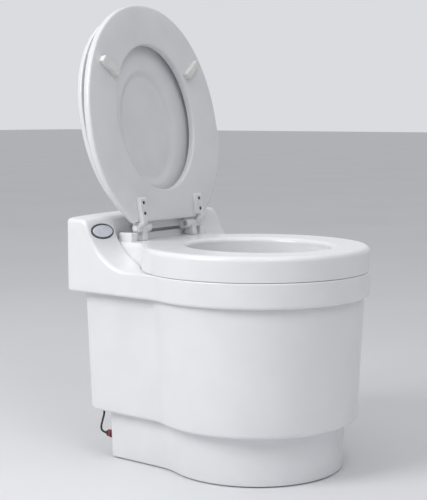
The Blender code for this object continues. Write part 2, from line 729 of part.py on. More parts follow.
def oval(half_x, half_y, steps, centre_y=0.0):
    """An ellipse of points."""
    angles = [FULL_TURN * i / steps for i in range(steps)]
    return [(half_x * math.cos(a), centre_y + half_y * math.sin(a)) for a in angles]


def collar_outline(inset=0.0):
    """The collar's and the deck's outline, drawn in by an inset."""
    corner = max(COLLAR_CORNER - inset, GAP)
    return keyhole(COLLAR_RADIUS - inset, COLLAR_HALF - inset, COLLAR_REAR - inset, corner,
                   COLLAR_FILLET + inset)


def tub_outline(share, inset=0.0):
    """The tub's outline at a share of its height, drawn in by an inset."""
    drop = 1.0 - share
    radius = COLLAR_RADIUS - TUB_INSET_FRONT - TUB_DRAFT_FRONT * drop
    half = COLLAR_HALF - TUB_INSET_SIDE - TUB_DRAFT_SIDE * drop
    rear = COLLAR_REAR - TUB_INSET_REAR - TUB_DRAFT_REAR * drop
    return keyhole(radius - inset, half - inset, rear - inset, TUB_CORNER - inset, TUB_FILLET + inset)


def base_outline(share, inset=0.0):
    """The base's outline at a share of its height, drawn in by an inset."""
    draft = BASE_DRAFT * (1.0 - share)
    radius = COLLAR_RADIUS - TUB_INSET_FRONT - TUB_DRAFT_FRONT - BASE_INSET_FRONT - draft
    half = COLLAR_HALF - TUB_INSET_SIDE - TUB_DRAFT_SIDE - BASE_INSET_SIDE - draft
    rear = base_rear() - draft
    return keyhole(radius - inset, half - inset, rear - inset, BASE_CORNER - inset, BASE_FILLET + inset)


def base_rear():
    """The base's rear wall at its top."""
    return tub_rear(0.0) - BASE_INSET_REAR


def tub_rear(share):
    """The tub's rear wall at a share of its height."""
    return COLLAR_REAR - TUB_INSET_REAR - TUB_DRAFT_REAR * (1.0 - share)


def cover_outline(inset=0.0):
    """The rim cover's outline: a disc with a tab to the rear, drawn in by an inset."""
    corner = max(COVER_TAB_CORNER - inset, GAP)
    return keyhole(COVER_RADIUS - inset, COVER_TAB_HALF - inset, COVER_REAR - inset, corner,
                   COVER_TAB_FILLET + inset, COVER_REAR_STEPS)


def rounded_foot(outline, bottom, edge):
    """Rings of a rounded bottom edge: shares of the edge drawn in and of its height."""
    return [level(outline(edge * inward), bottom + edge * up) for inward, up in TRAY_EDGE_SHARES]


def make_base():
    """The base tray with its feet, screw holes, socket hole and battery."""
    rings = rounded_foot(lambda inset: base_outline(0.0, inset), BASE_BOTTOM, BASE_EDGE)
    rings.append(level(base_outline(1.0), BASE_TOP))
    rings.append(level(base_outline(1.0, BASE_WALL), BASE_TOP))
    rings.append(level(base_outline(0.0, BASE_WALL), BASE_BOTTOM + BASE_WALL))
    tray = put("base_tray", ring_mesh(rings), GLOSS_WHITE)
    rear = base_rear()
    hole = rod_mesh(SOCKET_RADIUS + GAP, BASE_WALL * 2 + OVERRUN * 2, (-SOCKET_X, rear, SOCKET_Z), "Y")
    cut(tray, put("socket_hole", hole, GLOSS_WHITE))
    for i, (x, y) in enumerate(foot_places()):
        stud = rod_mesh(FOOT_STUD_RADIUS + GAP, BASE_WALL + OVERRUN * 2, (x, y, BASE_BOTTOM), "Z")
        cut(tray, put(f"foot_hole_{i}", stud, GLOSS_WHITE))
    disc = FOOT_SHOWN - GAP
    for i, (x, y) in enumerate(foot_places()):
        pad = rod_mesh(FOOT_RADIUS, disc, (x, y, disc / 2))
        foot = put(f"rubber_foot_{i + 1}", pad, BLACK_RUBBER)
        length = BASE_WALL + disc
        stem = rod_mesh(FOOT_STUD_RADIUS, length, (x, y, (disc + length) / 2), "Z")
        fuse(foot, put(f"foot_stem_{i + 1}", stem, BLACK_RUBBER))


def foot_places():
    """Four feet inside the base's outline."""
    radius = COLLAR_RADIUS - TUB_INSET_FRONT - TUB_DRAFT_FRONT - BASE_INSET_FRONT - FOOT_INSET
    half = COLLAR_HALF - TUB_INSET_SIDE - TUB_DRAFT_SIDE - BASE_INSET_SIDE - FOOT_INSET
    rear = base_rear() - FOOT_INSET
    front = radius * math.sin(HALF_TURN / 4)
    return [(-front, -front), (front, -front), (-half, rear), (half, rear)]


def make_battery():
    """The sealed battery on the base's floor, its terminals and its strap."""
    wide, deep, high = BATTERY_WIDE, BATTERY_DEEP, BATTERY_HIGH
    middle = base_rear() - BATTERY_REAR_ROOM
    floor = BASE_BOTTOM + BASE_WALL
    case = block_mesh((wide, deep, high), (0.0, middle, floor + GAP + high / 2), BATTERY_EDGE, 1)
    battery = put("battery", case, BLACK_PLASTIC)
    for side in (-1, 1):
        x = side * (wide / 2 - TERMINAL_INSET)
        top = floor + GAP + high
        post = rod_mesh(TERMINAL_RADIUS, TERMINAL_HEIGHT + TERMINAL_HEIGHT,
                        (x, middle - deep / 2 + TERMINAL_INSET, top), "Z", TINY_STEPS)
        fuse(battery, put(f"terminal_{side}", post, BRASS))
    inner_y = deep / 2 + GAP
    inner_z = floor + GAP + high + GAP
    foot_y = inner_y + STRAP_METAL + STRAP_FOOT
    low = floor + GAP
    path = [(-foot_y, low), (-inner_y, low), (-inner_y, inner_z), (inner_y, inner_z), (inner_y, low),
            (foot_y, low), (foot_y, low + STRAP_METAL), (inner_y + STRAP_METAL, low + STRAP_METAL),
            (inner_y + STRAP_METAL, inner_z + STRAP_METAL), (-inner_y - STRAP_METAL, inner_z + STRAP_METAL),
            (-inner_y - STRAP_METAL, low + STRAP_METAL), (-foot_y, low + STRAP_METAL)]
    sides = [[(x, middle + y, z) for y, z in path] for x in (-STRAP_BAND / 2, STRAP_BAND / 2)]
    put("battery_strap", ring_mesh(sides, smooth=False), STEEL)


def make_tub():
    """The tub, its rear opening and its rear panel's frame of reference."""
    rings = rounded_foot(lambda inset: tub_outline(0.0, inset), TUB_BOTTOM, TUB_EDGE)
    rings.append(level(tub_outline(1.0), TUB_TOP))
    rings.append(level(tub_outline(1.0, TUB_WALL), TUB_TOP))
    rings.append(level(tub_outline(0.0, TUB_WALL), TUB_FLOOR))
    tub = put("main_tub", ring_mesh(rings), GLOSS_WHITE)
    draft = math.atan2(tub_rear(1.0) - tub_rear(0.0), TUB_HEIGHT)
    wall = empty("rear_wall", FRAME, (0.0, tub_rear(0.0), TUB_BOTTOM), (-draft, 0.0, 0.0))
    through = TUB_WALL * 2 + OVERRUN * 2
    opening = block_mesh(((PANEL_HALF - PANEL_LAP) * 2, through, PANEL_HEIGHT - PANEL_LAP * 2),
                         (PANEL_X, 0.0, PANEL_BOTTOM + PANEL_HEIGHT / 2))
    cut(tub, put("panel_opening", opening, GLOSS_WHITE, wall))
    for i in range(VENT_COUNT):
        height = VENT_Z + VENT_PITCH * (i - (VENT_COUNT - 1) / 2)
        slot = block_mesh((VENT_HALF * 2, through, VENT_SLOT), (VENT_X, 0.0, height))
        cut(tub, put(f"vent_slot_{i}", slot, GLOSS_WHITE, wall))
    gland = rod_mesh(GLAND_RADIUS - GAP - CAP_LAP, TUB_WALL + OVERRUN * 2, gland_place(TUB_BOTTOM), "Z")
    cut(tub, put("gland_hole", gland, GLOSS_WHITE))
    return wall


def gland_place(z):
    """Where the lead comes out of the tub's floor."""
    return (-GLAND_X, tub_rear(0.0) - GLAND_FROM_REAR, z)


def make_rear_wall(wall):
    """What the tub's rear wall carries: the service panel with its screws, and the circuit board."""
    middle = PANEL_BOTTOM + PANEL_HEIGHT / 2
    plate = block_mesh((PANEL_HALF * 2, PANEL_THICK, PANEL_HEIGHT), (PANEL_X, GAP + PANEL_THICK / 2, middle),
                       PANEL_THICK / 4, 1)
    panel = put("service_panel", plate, GLOSS_WHITE, wall)
    for x, z in panel_screw_places():
        through = (PANEL_THICK + OVERRUN) * 2
        hole = rod_mesh(SCREW_RADIUS + GAP, through, (x, PANEL_THICK, z), "Y", TINY_STEPS)
        cut(panel, put("panel_screw_hole", hole, GLOSS_WHITE, wall))
    face = -TUB_WALL / math.cos(wall.rotation_euler.x) - GAP
    board_y = face - BOARD_STAND - BOARD_THICK / 2
    board_z = BOARD_BOTTOM + BOARD_HEIGHT / 2
    card = block_mesh((BOARD_WIDTH, BOARD_THICK, BOARD_HEIGHT), (BOARD_X, board_y, board_z))
    board = put("control_board", card, CIRCUIT_GREEN, wall)
    front = board_y - BOARD_THICK / 2
    relay_x = BOARD_X - BOARD_WIDTH / 4
    relay = block_mesh(RELAY_SIZE, (relay_x, front - RELAY_SIZE[1] / 2 + GAP, board_z))
    chip_x = BOARD_X + BOARD_WIDTH / 5
    chip = block_mesh(CHIP_SIZE, (chip_x, front - CHIP_SIZE[1] / 2 + GAP, board_z))
    fuse(board, put("relay", relay, BLACK_PLASTIC, wall), put("chip", chip, BLACK_PLASTIC, wall))
    length = -board_y
    for side_x in (-1, 1):
        for side_z in (-1, 1):
            x = BOARD_X + side_x * (BOARD_WIDTH / 2 - BOARD_STAND_RADIUS * 2)
            z = board_z + side_z * (BOARD_HEIGHT / 2 - BOARD_STAND_RADIUS * 2)
            stand = rod_mesh(BOARD_STAND_RADIUS, length, (x, -length / 2, z), "Y", TINY_STEPS)
            fuse(board, put("board_stand", stand, ACETAL, wall))


def panel_screw_places():
    """The service panel's four screws, in the rear wall's frame."""
    inset = PANEL_LAP / 2
    middle = PANEL_BOTTOM + PANEL_HEIGHT / 2
    return [(PANEL_X + sx * (PANEL_HALF - inset), middle + sz * (PANEL_HEIGHT / 2 - inset))
            for sx in (-1, 1) for sz in (-1, 1)]


def ramp_profile(inset):
    """Side view of the cutter that leaves the arms: flat, an arc, then a straight slope to the top."""
    radius = RAMP_RADIUS + inset
    low = COLLAR_TOP - inset
    slope_rise = DECK_TOP - COLLAR_TOP - RAMP_RADIUS * (1.0 - math.cos(RAMP_ANGLE))
    start = DECK_FRONT - RAMP_RADIUS * math.sin(RAMP_ANGLE) - slope_rise / math.tan(RAMP_ANGLE)
    down = -HALF_TURN / 2
    bend = arc(start, COLLAR_TOP + RAMP_RADIUS, radius, down, down + RAMP_ANGLE, RAMP_STEPS)
    top = DECK_TOP + CROWN_RISE + OVERRUN
    last_y, last_z = bend[-1]
    end_y = last_y + (top - last_z) / math.tan(RAMP_ANGLE)
    front = -COLLAR_RADIUS - OVERRUN
    return [(front, low), *bend, (end_y, top), (front, top)]


def crown_profile(inset):
    """Front view of the cutter that leaves the deck's arched top."""
    half = COLLAR_HALF + OVERRUN
    rise = CROWN_RISE
    radius = (COLLAR_HALF ** 2 + rise ** 2) / (2 * rise)
    centre = DECK_TOP + rise - radius
    reach = math.asin(half / radius)
    bend = arc(0.0, centre, radius - inset, HALF_TURN / 2 - reach, HALF_TURN / 2 + reach, CROWN_STEPS)
    top = DECK_TOP + rise + OVERRUN + OVERRUN
    return [*bend, (bend[-1][0], top), (bend[0][0], top)]


def deck_form(name, inset):
    """The collar's solid form, drawn in by an inset, with its ramps, crown and recess taken away."""
    bottom = COLLAR_BOTTOM - (OVERRUN if inset else 0.0)
    top = DECK_TOP + CROWN_RISE + OVERRUN
    if inset:
        rings = [level(collar_outline(inset), bottom), level(collar_outline(inset), top)]
    else:
        rings = rounded_foot(collar_outline, bottom, COLLAR_EDGE)
        rings.append(level(collar_outline(), top))
    form = put(name, ring_mesh(rings), GLOSS_WHITE)
    half = COLLAR_RADIUS + OVERRUN
    ramp = [[(x, y, z) for y, z in ramp_profile(inset)] for x in (-half, half)]
    cut(form, put(f"{name}_ramp", ring_mesh(ramp), GLOSS_WHITE))
    front, rear = -COLLAR_RADIUS - OVERRUN, COLLAR_REAR + OVERRUN
    crown = [[(x, y, z) for x, z in crown_profile(inset)] for y in (front, rear)]
    cut(form, put(f"{name}_crown", ring_mesh(crown), GLOSS_WHITE))
    recess_edge = cover_outline(-COVER_CLEARANCE - inset)
    recess = [level(recess_edge, COLLAR_TOP - inset), level(recess_edge, top + OVERRUN)]
    cut(form, put(f"{name}_recess", ring_mesh(recess), GLOSS_WHITE))
    return form


def make_collar():
    """The collar and the raised rear deck, one hollow moulding, with the button's hole."""
    collar = deck_form("collar_deck", 0.0)
    edge = collar.modifiers.new("edge", "BEVEL")
    edge.width = DECK_EDGE
    edge.segments = 2
    edge.limit_method = "ANGLE"
    edge.angle_limit = BEVEL_ANGLE
    cut(collar, deck_form("collar_hollow", COLLAR_WALL))
    depth = COLLAR_WALL * 2 + OVERRUN * 2
    hole = rod_mesh(COLLAR_HOLE_RADIUS, depth, (0.0, 0.0, COLLAR_TOP), "Z", WIDE_STEPS)
    cut(collar, put("collar_hole", hole, GLOSS_WHITE))
    return collar


def ramp_point(share):
    """A point on the ramp's side view at a share of its rise, with its slope."""
    height = DECK_RISE * share
    bend_rise = RAMP_RADIUS * (1.0 - math.cos(RAMP_ANGLE))
    slope_rise = DECK_RISE - bend_rise
    start = DECK_FRONT - RAMP_RADIUS * math.sin(RAMP_ANGLE) - slope_rise / math.tan(RAMP_ANGLE)
    if height < bend_rise:
        angle = math.acos(1.0 - height / RAMP_RADIUS)
        return start + RAMP_RADIUS * math.sin(angle), COLLAR_TOP + height, angle
    run = (height - bend_rise) / math.tan(RAMP_ANGLE)
    return start + RAMP_RADIUS * math.sin(RAMP_ANGLE) + run, COLLAR_TOP + height, RAMP_ANGLE


def make_button(collar):
    """The flush button, its bezel cup and its switch, in a frame square to the ramp."""
    y, z, slope = ramp_point(BUTTON_HEIGHT_SHARE)
    frame = empty("button_frame", FRAME, (-BUTTON_X, y, z), (slope, 0.0, 0.0))
    hole_x = BEZEL_HALF_X - BEZEL_RIM + GAP
    hole_y = BEZEL_HALF_Y - BEZEL_RIM + GAP
    deep = BEZEL_DEPTH + OVERRUN
    hole_oval = oval(hole_x, hole_y, MEDIUM_STEPS)
    hole = ring_mesh([level(hole_oval, -deep), level(hole_oval, deep)])
    cut(collar, put("button_hole", hole, GLOSS_WHITE, frame))
    rim_oval = oval(BEZEL_HALF_X + GAP, BEZEL_HALF_Y + GAP, MEDIUM_STEPS)
    rim = ring_mesh([level(rim_oval, -BEZEL_SINK), level(rim_oval, deep)])
    cut(collar, put("bezel_recess", rim, GLOSS_WHITE, frame))

    def rung(shrink, height):
        return level(oval(BEZEL_HALF_X - shrink, BEZEL_HALF_Y - shrink, MEDIUM_STEPS), height)

    well = BEZEL_RIM + SLEEVE_WALL
    low = -BEZEL_SINK + GAP
    rings = [rung(BEZEL_RIM, -BEZEL_DEPTH), rung(BEZEL_RIM, low), rung(0.0, low), rung(0.0, BEZEL_PROUD / 2),
             rung(BEZEL_RIM / 3, BEZEL_PROUD), rung(well, BEZEL_PROUD),
             rung(well, BEZEL_FLOOR - BEZEL_DEPTH)]
    bezel = put("button_bezel", ring_mesh(rings), DARK_RING, frame)
    stem_hole = rod_mesh(STEM_RADIUS + STEM_PLAY, BEZEL_FLOOR * 2 + OVERRUN, (0.0, 0.0, -BEZEL_DEPTH))
    cut(bezel, put("stem_hole", stem_hole, DARK_RING, frame))

    shrink = well + BUTTON_PLAY
    top = BUTTON_PROUD
    rings = [rung(shrink, top - BUTTON_THICK), rung(shrink, top - BUTTON_THICK / 3),
             rung(shrink + BEZEL_RIM / 2, top - BUTTON_THICK / 8), rung(shrink + BEZEL_RIM * 2, top)]
    button = put("flush_button", ring_mesh(rings), SILVER_FACE, frame)
    switch_top = -BEZEL_DEPTH - GAP
    stem_end = switch_top + BUTTON_TRAVEL + GAP
    stem_length = top - BUTTON_THICK - stem_end + GAP
    stem = rod_mesh(STEM_RADIUS, stem_length, (0.0, 0.0, stem_end + stem_length / 2))
    fuse(button, put("button_stem", stem, SILVER_FACE, frame))

    switch = block_mesh(SWITCH_SIZE, (0.0, 0.0, switch_top - SWITCH_SIZE[2] / 2))
    put("flush_switch", switch, BLACK_PLASTIC, frame)
    return frame


def mouth_outline(grow, count_like):
    """The rim's oval mouth, at the directions of the cover outline's points."""
    points = []
    for x, y in count_like:
        angle = math.atan2(y - MOUTH_CENTRE_Y, x)
        across, along = MOUTH_HALF_X + grow, MOUTH_HALF_Y + grow
        reach = 1.0 / math.hypot(math.cos(angle) / across, math.sin(angle) / along)
        points.append((reach * math.cos(angle), MOUTH_CENTRE_Y + reach * math.sin(angle)))
    return points


def funnel_outline(radius, count_like):
    """A circle about the bowl's axis, at the directions of the cover outline's points."""
    points = []
    for x, y in count_like:
        angle = math.atan2(y - MOUTH_CENTRE_Y, x)
        points.append((radius * math.cos(angle), radius * math.sin(angle)))
    return points


def make_cover():
    """The lift-off rim cover: rim, funnel and hinge plinth, hollow from below."""
    guide = cover_outline()
    rings = [level(guide, COVER_BOTTOM)]
    for inward, up in COVER_EDGE_SHARES:
        rings.append(level(cover_outline(COVER_EDGE * inward), COVER_TOP - COVER_EDGE * (1.0 - up)))
    for outward, up in LIP_SHARES:
        rings.append(level(mouth_outline(MOUTH_LIP * outward, guide), COVER_TOP - MOUTH_LIP * (1.0 - up)))
    rings.append(level(funnel_outline(FUNNEL_RADIUS, guide), FUNNEL_BOTTOM))
    rings.append(level(funnel_outline(FUNNEL_RADIUS + FUNNEL_WALL, guide), FUNNEL_BOTTOM))
    under = COVER_TOP - COVER_WALL
    rings.append(level(mouth_outline(FUNNEL_WALL + MOUTH_LIP, guide), under))
    rings.append(level(cover_outline(COVER_WALL + COVER_EDGE / 2), under))
    rings.append(level(cover_outline(COVER_WALL), under - COVER_EDGE / 2))
    rings.append(level(cover_outline(COVER_WALL), COVER_BOTTOM))
    cover = put("rim_cover", ring_mesh(rings, endless=True), GLOSS_WHITE)
    root = COVER_TOP - COVER_WALL / 2
    front = PIN_Y - PLINTH_FRONT
    rear = COVER_REAR - COVER_TAB_CORNER / 2
    ridge_front = PIN_Y + RIDGE_FRONT
    for side in (-1, 1):
        edges = sorted((side * PLINTH_IN, side * PLINTH_OUT))
        plinth = tapered_block(edges, (front, rear), (root, COVER_TOP + PLINTH_HEIGHT))
        fuse(cover, put("plinth", plinth, GLOSS_WHITE))
    ridge = tapered_block((-PLINTH_IN - PLINTH_TAPER * 2, PLINTH_IN + PLINTH_TAPER * 2), (ridge_front, rear),
                          (root, COVER_TOP + RIDGE_HEIGHT))
    fuse(cover, put("ridge", ridge, GLOSS_WHITE))
    for side in (-1, 1):
        place = (side * post_middle(), PIN_Y, COVER_TOP)
        bore = rod_mesh(BOLT_RADIUS + GAP, COVER_WALL * 2 + OVERRUN, place)
        cut(cover, put("bolt_hole", bore, GLOSS_WHITE))
    outer = FUNNEL_RADIUS + GASKET_WIDTH
    high, low = FUNNEL_BOTTOM - GAP, CAP_TOP + GAP
    profile = [(outer, high), (outer, low), (FUNNEL_RADIUS, low), (FUNNEL_RADIUS, high)]
    turned("rim_gasket", profile, GASKET_GREY, ring=True)


def tapered_block(x_span, y_span, z_span):
    """A block whose sides draw in towards its top."""
    rings = []
    for inset, z in ((0.0, z_span[0]), (PLINTH_TAPER, z_span[1])):
        left, right = x_span[0] + inset, x_span[1] - inset
        front, rear = y_span[0] + inset, y_span[1] - inset
        rings.append(level([(left, front), (right, front), (right, rear), (left, rear)], z))
    return ring_mesh(rings, smooth=False)


def post_inner():
    """The post's inner face, outside the lid's knuckle."""
    return KNUCKLE_IN + KNUCKLE_WIDTH + SIDE_PLAY


def post_middle():
    """The middle of a hinge post across the seat."""
    return post_inner() + POST_WIDTH / 2


def lobe_inner():
    """The inner face of the seat arm's lobe, outside the post."""
    return post_inner() + POST_WIDTH + SIDE_PLAY


def side_name(side):
    """Left or right, as seen from the front of the bowl with the pins behind it."""
    return "left" if side < 0 else "right"


def make_hinge_base(side):
    """A post on the rim cover, its bolt and nut below, and its pin."""
    name = side_name(side)
    low = COVER_TOP + GAP
    front, rear = PIN_Y - POST_FOOT_FRONT, PIN_Y + POST_FOOT_REAR
    shoulder = low + POST_FOOT_HEIGHT
    waist = PIN_Z - BARREL_RADIUS
    path = [(front, low), (rear, low), (rear, shoulder), (PIN_Y + POST_HALF_DEPTH, waist)]
    past = HALF_TURN * POST_CROWN_SHARE
    path += arc(PIN_Y, PIN_Z, BARREL_RADIUS, -past, HALF_TURN + past, TINY_STEPS)
    path += [(PIN_Y - POST_HALF_DEPTH, waist), (front, shoulder)]
    near, far = sorted((side * post_inner(), side * (post_inner() + POST_WIDTH)))
    sides = [[(x, y, z) for y, z in path] for x in (near, far)]
    post = put(f"hinge_post_{name}", ring_mesh(sides), HINGE_WHITE)
    middle = side * post_middle()
    bore = rod_mesh(PIN_RADIUS + GAP, POST_WIDTH + OVERRUN, (middle, PIN_Y, PIN_Z), "X")
    cut(post, put(f"post_bore_{name}", bore, HINGE_WHITE))
    bolt_top = low + BOLT_HEAD
    socket_depth = BOLT_HEAD + GAP
    socket_middle = low + (socket_depth - OVERRUN) / 2
    socket = rod_mesh(BOLT_RADIUS + GAP, socket_depth + OVERRUN, (middle, PIN_Y, socket_middle))
    cut(post, put(f"post_socket_{name}", socket, HINGE_WHITE))
    bolt = rod_mesh(BOLT_RADIUS, BOLT_LENGTH, (middle, PIN_Y, bolt_top - BOLT_LENGTH / 2), "Z")
    under = COVER_TOP - COVER_WALL - GAP
    nut = nut_mesh((middle, PIN_Y, under - NUT_HEIGHT / 2))
    inner = KNUCKLE_IN - SIDE_PLAY
    outer = lobe_inner() + LOBE_WIDTH + SIDE_PLAY
    length = outer - inner
    shank = rod_mesh(PIN_RADIUS, length, (side * (inner + outer) / 2, PIN_Y, PIN_Z), "X")
    pin = put(f"hinge_pin_{name}", shank, STEEL)
    cap = rod_mesh(PIN_CAP_RADIUS, PIN_CAP_LENGTH, (side * (outer + PIN_CAP_LENGTH / 2), PIN_Y, PIN_Z), "X")
    fuse(pin, put(f"pin_cap_{name}", cap, STEEL))
    put(f"hinge_bolt_{name}", bolt, STEEL)
    put(f"hinge_nut_{name}", nut, HINGE_WHITE)


def nut_mesh(place):
    """A hand nut with shallow lobes and a bore."""
    count = NUT_LOBES * NUT_LOBE_STEPS
    bore = BOLT_RADIUS + GAP
    outer = []
    inner = []
    for i in range(count):
        angle = FULL_TURN * i / count
        radius = NUT_RADIUS * (1.0 - NUT_WAVE_SHARE + NUT_WAVE_SHARE * math.cos(NUT_LOBES * angle))
        outer.append((place[0] + radius * math.cos(angle), place[1] + radius * math.sin(angle)))
        inner.append((place[0] + bore * math.cos(angle), place[1] + bore * math.sin(angle)))
    low, high = place[2] - NUT_HEIGHT / 2, place[2] + NUT_HEIGHT / 2
    rings = [level(outer, low), level(outer, high), level(inner, high), level(inner, low)]
    return ring_mesh(rings, endless=True)


def make_hinges():
    """Both hinge posts, pins, bolts and nuts."""
    for side in (-1, 1):
        make_hinge_base(side)


def leaf_outline(half, centre, front, back, powers, tab_half, rear_edge):
    """Outline of a seat or lid, flat: an oval with a squared tab at the hinge, front towards -y."""
    front_power, back_power = powers
    last = HALF_TURN - math.asin(min(tab_half / half, 1.0) ** (back_power / 2))
    right = []
    for i in range(LEAF_STEPS + 1):
        t = last * i / LEAF_STEPS
        ahead = t <= HALF_TURN / 2
        power = front_power if ahead else back_power
        reach = front if ahead else back
        x = half * abs(math.sin(t)) ** (2 / power)
        along = math.copysign(abs(math.cos(t)) ** (2 / power), math.cos(t))
        right.append((x, -(centre + reach * along)))
    right.append((tab_half, -rear_edge))
    return mirrored(right)


def seat_outline():
    """The seat's outer outline from the pin's axis."""
    powers = (SEAT_FRONT_POWER, SEAT_BACK_POWER)
    return leaf_outline(SEAT_HALF, SEAT_CENTRE, SEAT_FRONT, SEAT_BACK, powers, SEAT_REAR_HALF,
                        SEAT_REAR_EDGE)


def hole_outline(count):
    """The seat's oval hole, with as many points as the seat's outline."""
    points = []
    for i in range(count):
        t = FULL_TURN * i / count
        points.append((HOLE_HALF_X * math.sin(t), -(HOLE_CENTRE + HOLE_HALF_Y * math.cos(t))))
    return points


def make_seat():
    """The seat ring with its bumpers, hinge arms and screws, in the seat pivot's frame."""
    outer = seat_outline()
    inner = hole_outline(len(outer))
    rings = []
    for inward, up in SEAT_SECTION_SHARES:
        z = -SEAT_DROP + SEAT_THICK * up
        rings.append([(ox + (ix - ox) * inward, oy + (iy - oy) * inward, z)
                      for (ox, oy), (ix, iy) in zip(outer, inner)])
    seat = put("seat_ring", ring_mesh(rings, endless=True), SEAT_WHITE, SEAT_PIVOT)
    gap_to_cover = PIN_ABOVE_COVER - SEAT_DROP
    height = gap_to_cover - GAP - GAP
    for side in (-1, 1):
        pad = bumper_mesh(side, SEAT_BUMPER_Y, HOLE_CENTRE, -SEAT_DROP - GAP, -height)
        put(f"seat_bumper_{side_name(side)}", pad, BUMPER_WHITE, SEAT_PIVOT)
        make_seat_arm(side)
    return seat


def bumper_mesh(side, reach, centre, base, height):
    """An oblong pad that points at the hole's centre; a negative height hangs it below its base."""
    size = (BUMPER_LENGTH, BUMPER_WIDTH, abs(height))
    mesh = block_mesh(size, (0.0, 0.0, 0.0), BUMPER_EDGE)
    angle = math.atan2(-(reach - centre), side * BUMPER_X)
    place = Vector((side * BUMPER_X, -reach, base + height / 2))
    mesh.transform(Matrix.Translation(place) @ Matrix.Rotation(angle, 4, "Z"))
    return mesh


def make_seat_arm(side):
    """A seat arm: a bar along the seat's underside that hooks back to a lobe on the pin."""
    name = side_name(side)
    top = -SEAT_DROP - GAP
    low = top - ARM_PROUD
    lowest = low - ARM_KINK
    bar_end = -ARM_STEP
    near, far = sorted((side * ARM_IN, side * (ARM_IN + ARM_WIDTH)))
    plate = block_mesh((ARM_WIDTH, ARM_REACH - ARM_STEP, ARM_PROUD),
                       ((near + far) / 2, (bar_end - ARM_REACH) / 2, (top + low) / 2), ARM_EDGE, 1)
    arm = put(f"seat_arm_{name}", plate, HINGE_WHITE, SEAT_PIVOT)
    hook_in = lobe_inner()
    hook_near, hook_far = sorted((side * hook_in, side * (hook_in + LOBE_WIDTH)))
    lobe = arc(0.0, 0.0, BARREL_RADIUS, HALF_TURN, HALF_TURN * LOBE_END_SHARE, TINY_STEPS)
    path = [*lobe, (-BARREL_RADIUS, lowest), (bar_end - ARM_BAR / 2, lowest), (bar_end - ARM_BAR, low + GAP),
            (bar_end - ARM_BAR, top - GAP), (GAP * 2 - SEAT_REAR_EDGE, top - GAP)]
    hook = ring_mesh([[(x, y, z) for y, z in path] for x in (hook_near, hook_far)])
    fuse(arm, put(f"arm_hook_{name}", hook, HINGE_WHITE, SEAT_PIVOT))
    bore = rod_mesh(PIN_RADIUS + GAP, LOBE_WIDTH + OVERRUN, ((hook_near + hook_far) / 2, 0.0, 0.0), "X")
    cut(arm, put(f"arm_bore_{name}", bore, HINGE_WHITE, SEAT_PIVOT))
    for reach in (ARM_SCREW_NEAR, ARM_SCREW_FAR):
        place = ((near + far) / 2, -reach, low)
        pocket = rod_mesh(SCREW_HOLE_RADIUS, SCREW_HOLE_DEPTH * 2, place, "Z", TINY_STEPS)
        cut(arm, put(f"arm_pocket_{name}", pocket, HINGE_WHITE, SEAT_PIVOT))


def lid_outline(inset=0.0):
    """The lid's outline from the pin's axis, drawn in by an inset."""
    powers = (LID_POWER, LID_POWER)
    return leaf_outline(LID_HALF - inset, LID_CENTRE, LID_FRONT - inset, LID_BACK - inset, powers,
                        LID_TAB_HALF - inset, LID_REAR_EDGE + inset)


def make_lid():
    """The lid, dished on its inner face, with its bumpers and knuckles, in the lid pivot's frame."""
    dish = LID_LIFT + LID_DISH
    rings = [level(lid_outline(LID_DISH_INSET + LID_DISH_SLOPE), dish)]
    rings.append(level(lid_outline(LID_DISH_INSET), LID_LIFT))
    edge = LID_THICK * LID_RIM_SHARE
    for inward, up in LID_EDGE_SHARES:
        rings.append(level(lid_outline(edge * inward), LID_LIFT + LID_THICK * up))
    put("lid", ring_mesh(rings), SEAT_WHITE, LID_PIVOT)
    height = LID_LIFT + SEAT_DROP - SEAT_THICK - GAP - GAP
    for side in (-1, 1):
        pad = bumper_mesh(side, LID_BUMPER_Y, HOLE_CENTRE, LID_LIFT - GAP, -height)
        put(f"lid_bumper_{side_name(side)}", pad, BUMPER_WHITE, LID_PIVOT)
        make_knuckle(side)


def make_knuckle(side):
    """A lid knuckle: a barrel on the pin with a strap along the lid's inner face."""
    name = side_name(side)
    near, far = sorted((side * KNUCKLE_IN, side * (KNUCKLE_IN + KNUCKLE_WIDTH)))
    top = LID_LIFT - GAP
    low = top - STRAP_THICK
    barrel = arc(0.0, 0.0, BARREL_RADIUS, HALF_TURN * KNUCKLE_START_SHARE, FULL_TURN, TINY_STEPS)
    path = [*barrel, (BARREL_RADIUS, top), (-STRAP_REACH, top), (-STRAP_REACH, low),
            (-BARREL_RADIUS - ARM_KINK, low)]
    sides = [[(x, y, z) for y, z in path] for x in (near, far)]
    knuckle = put(f"lid_knuckle_{name}", ring_mesh(sides), HINGE_WHITE, LID_PIVOT)
    bore = rod_mesh(PIN_RADIUS + GAP, KNUCKLE_WIDTH + OVERRUN, ((near + far) / 2, 0.0, 0.0), "X")
    cut(knuckle, put(f"knuckle_bore_{name}", bore, HINGE_WHITE, LID_PIVOT))


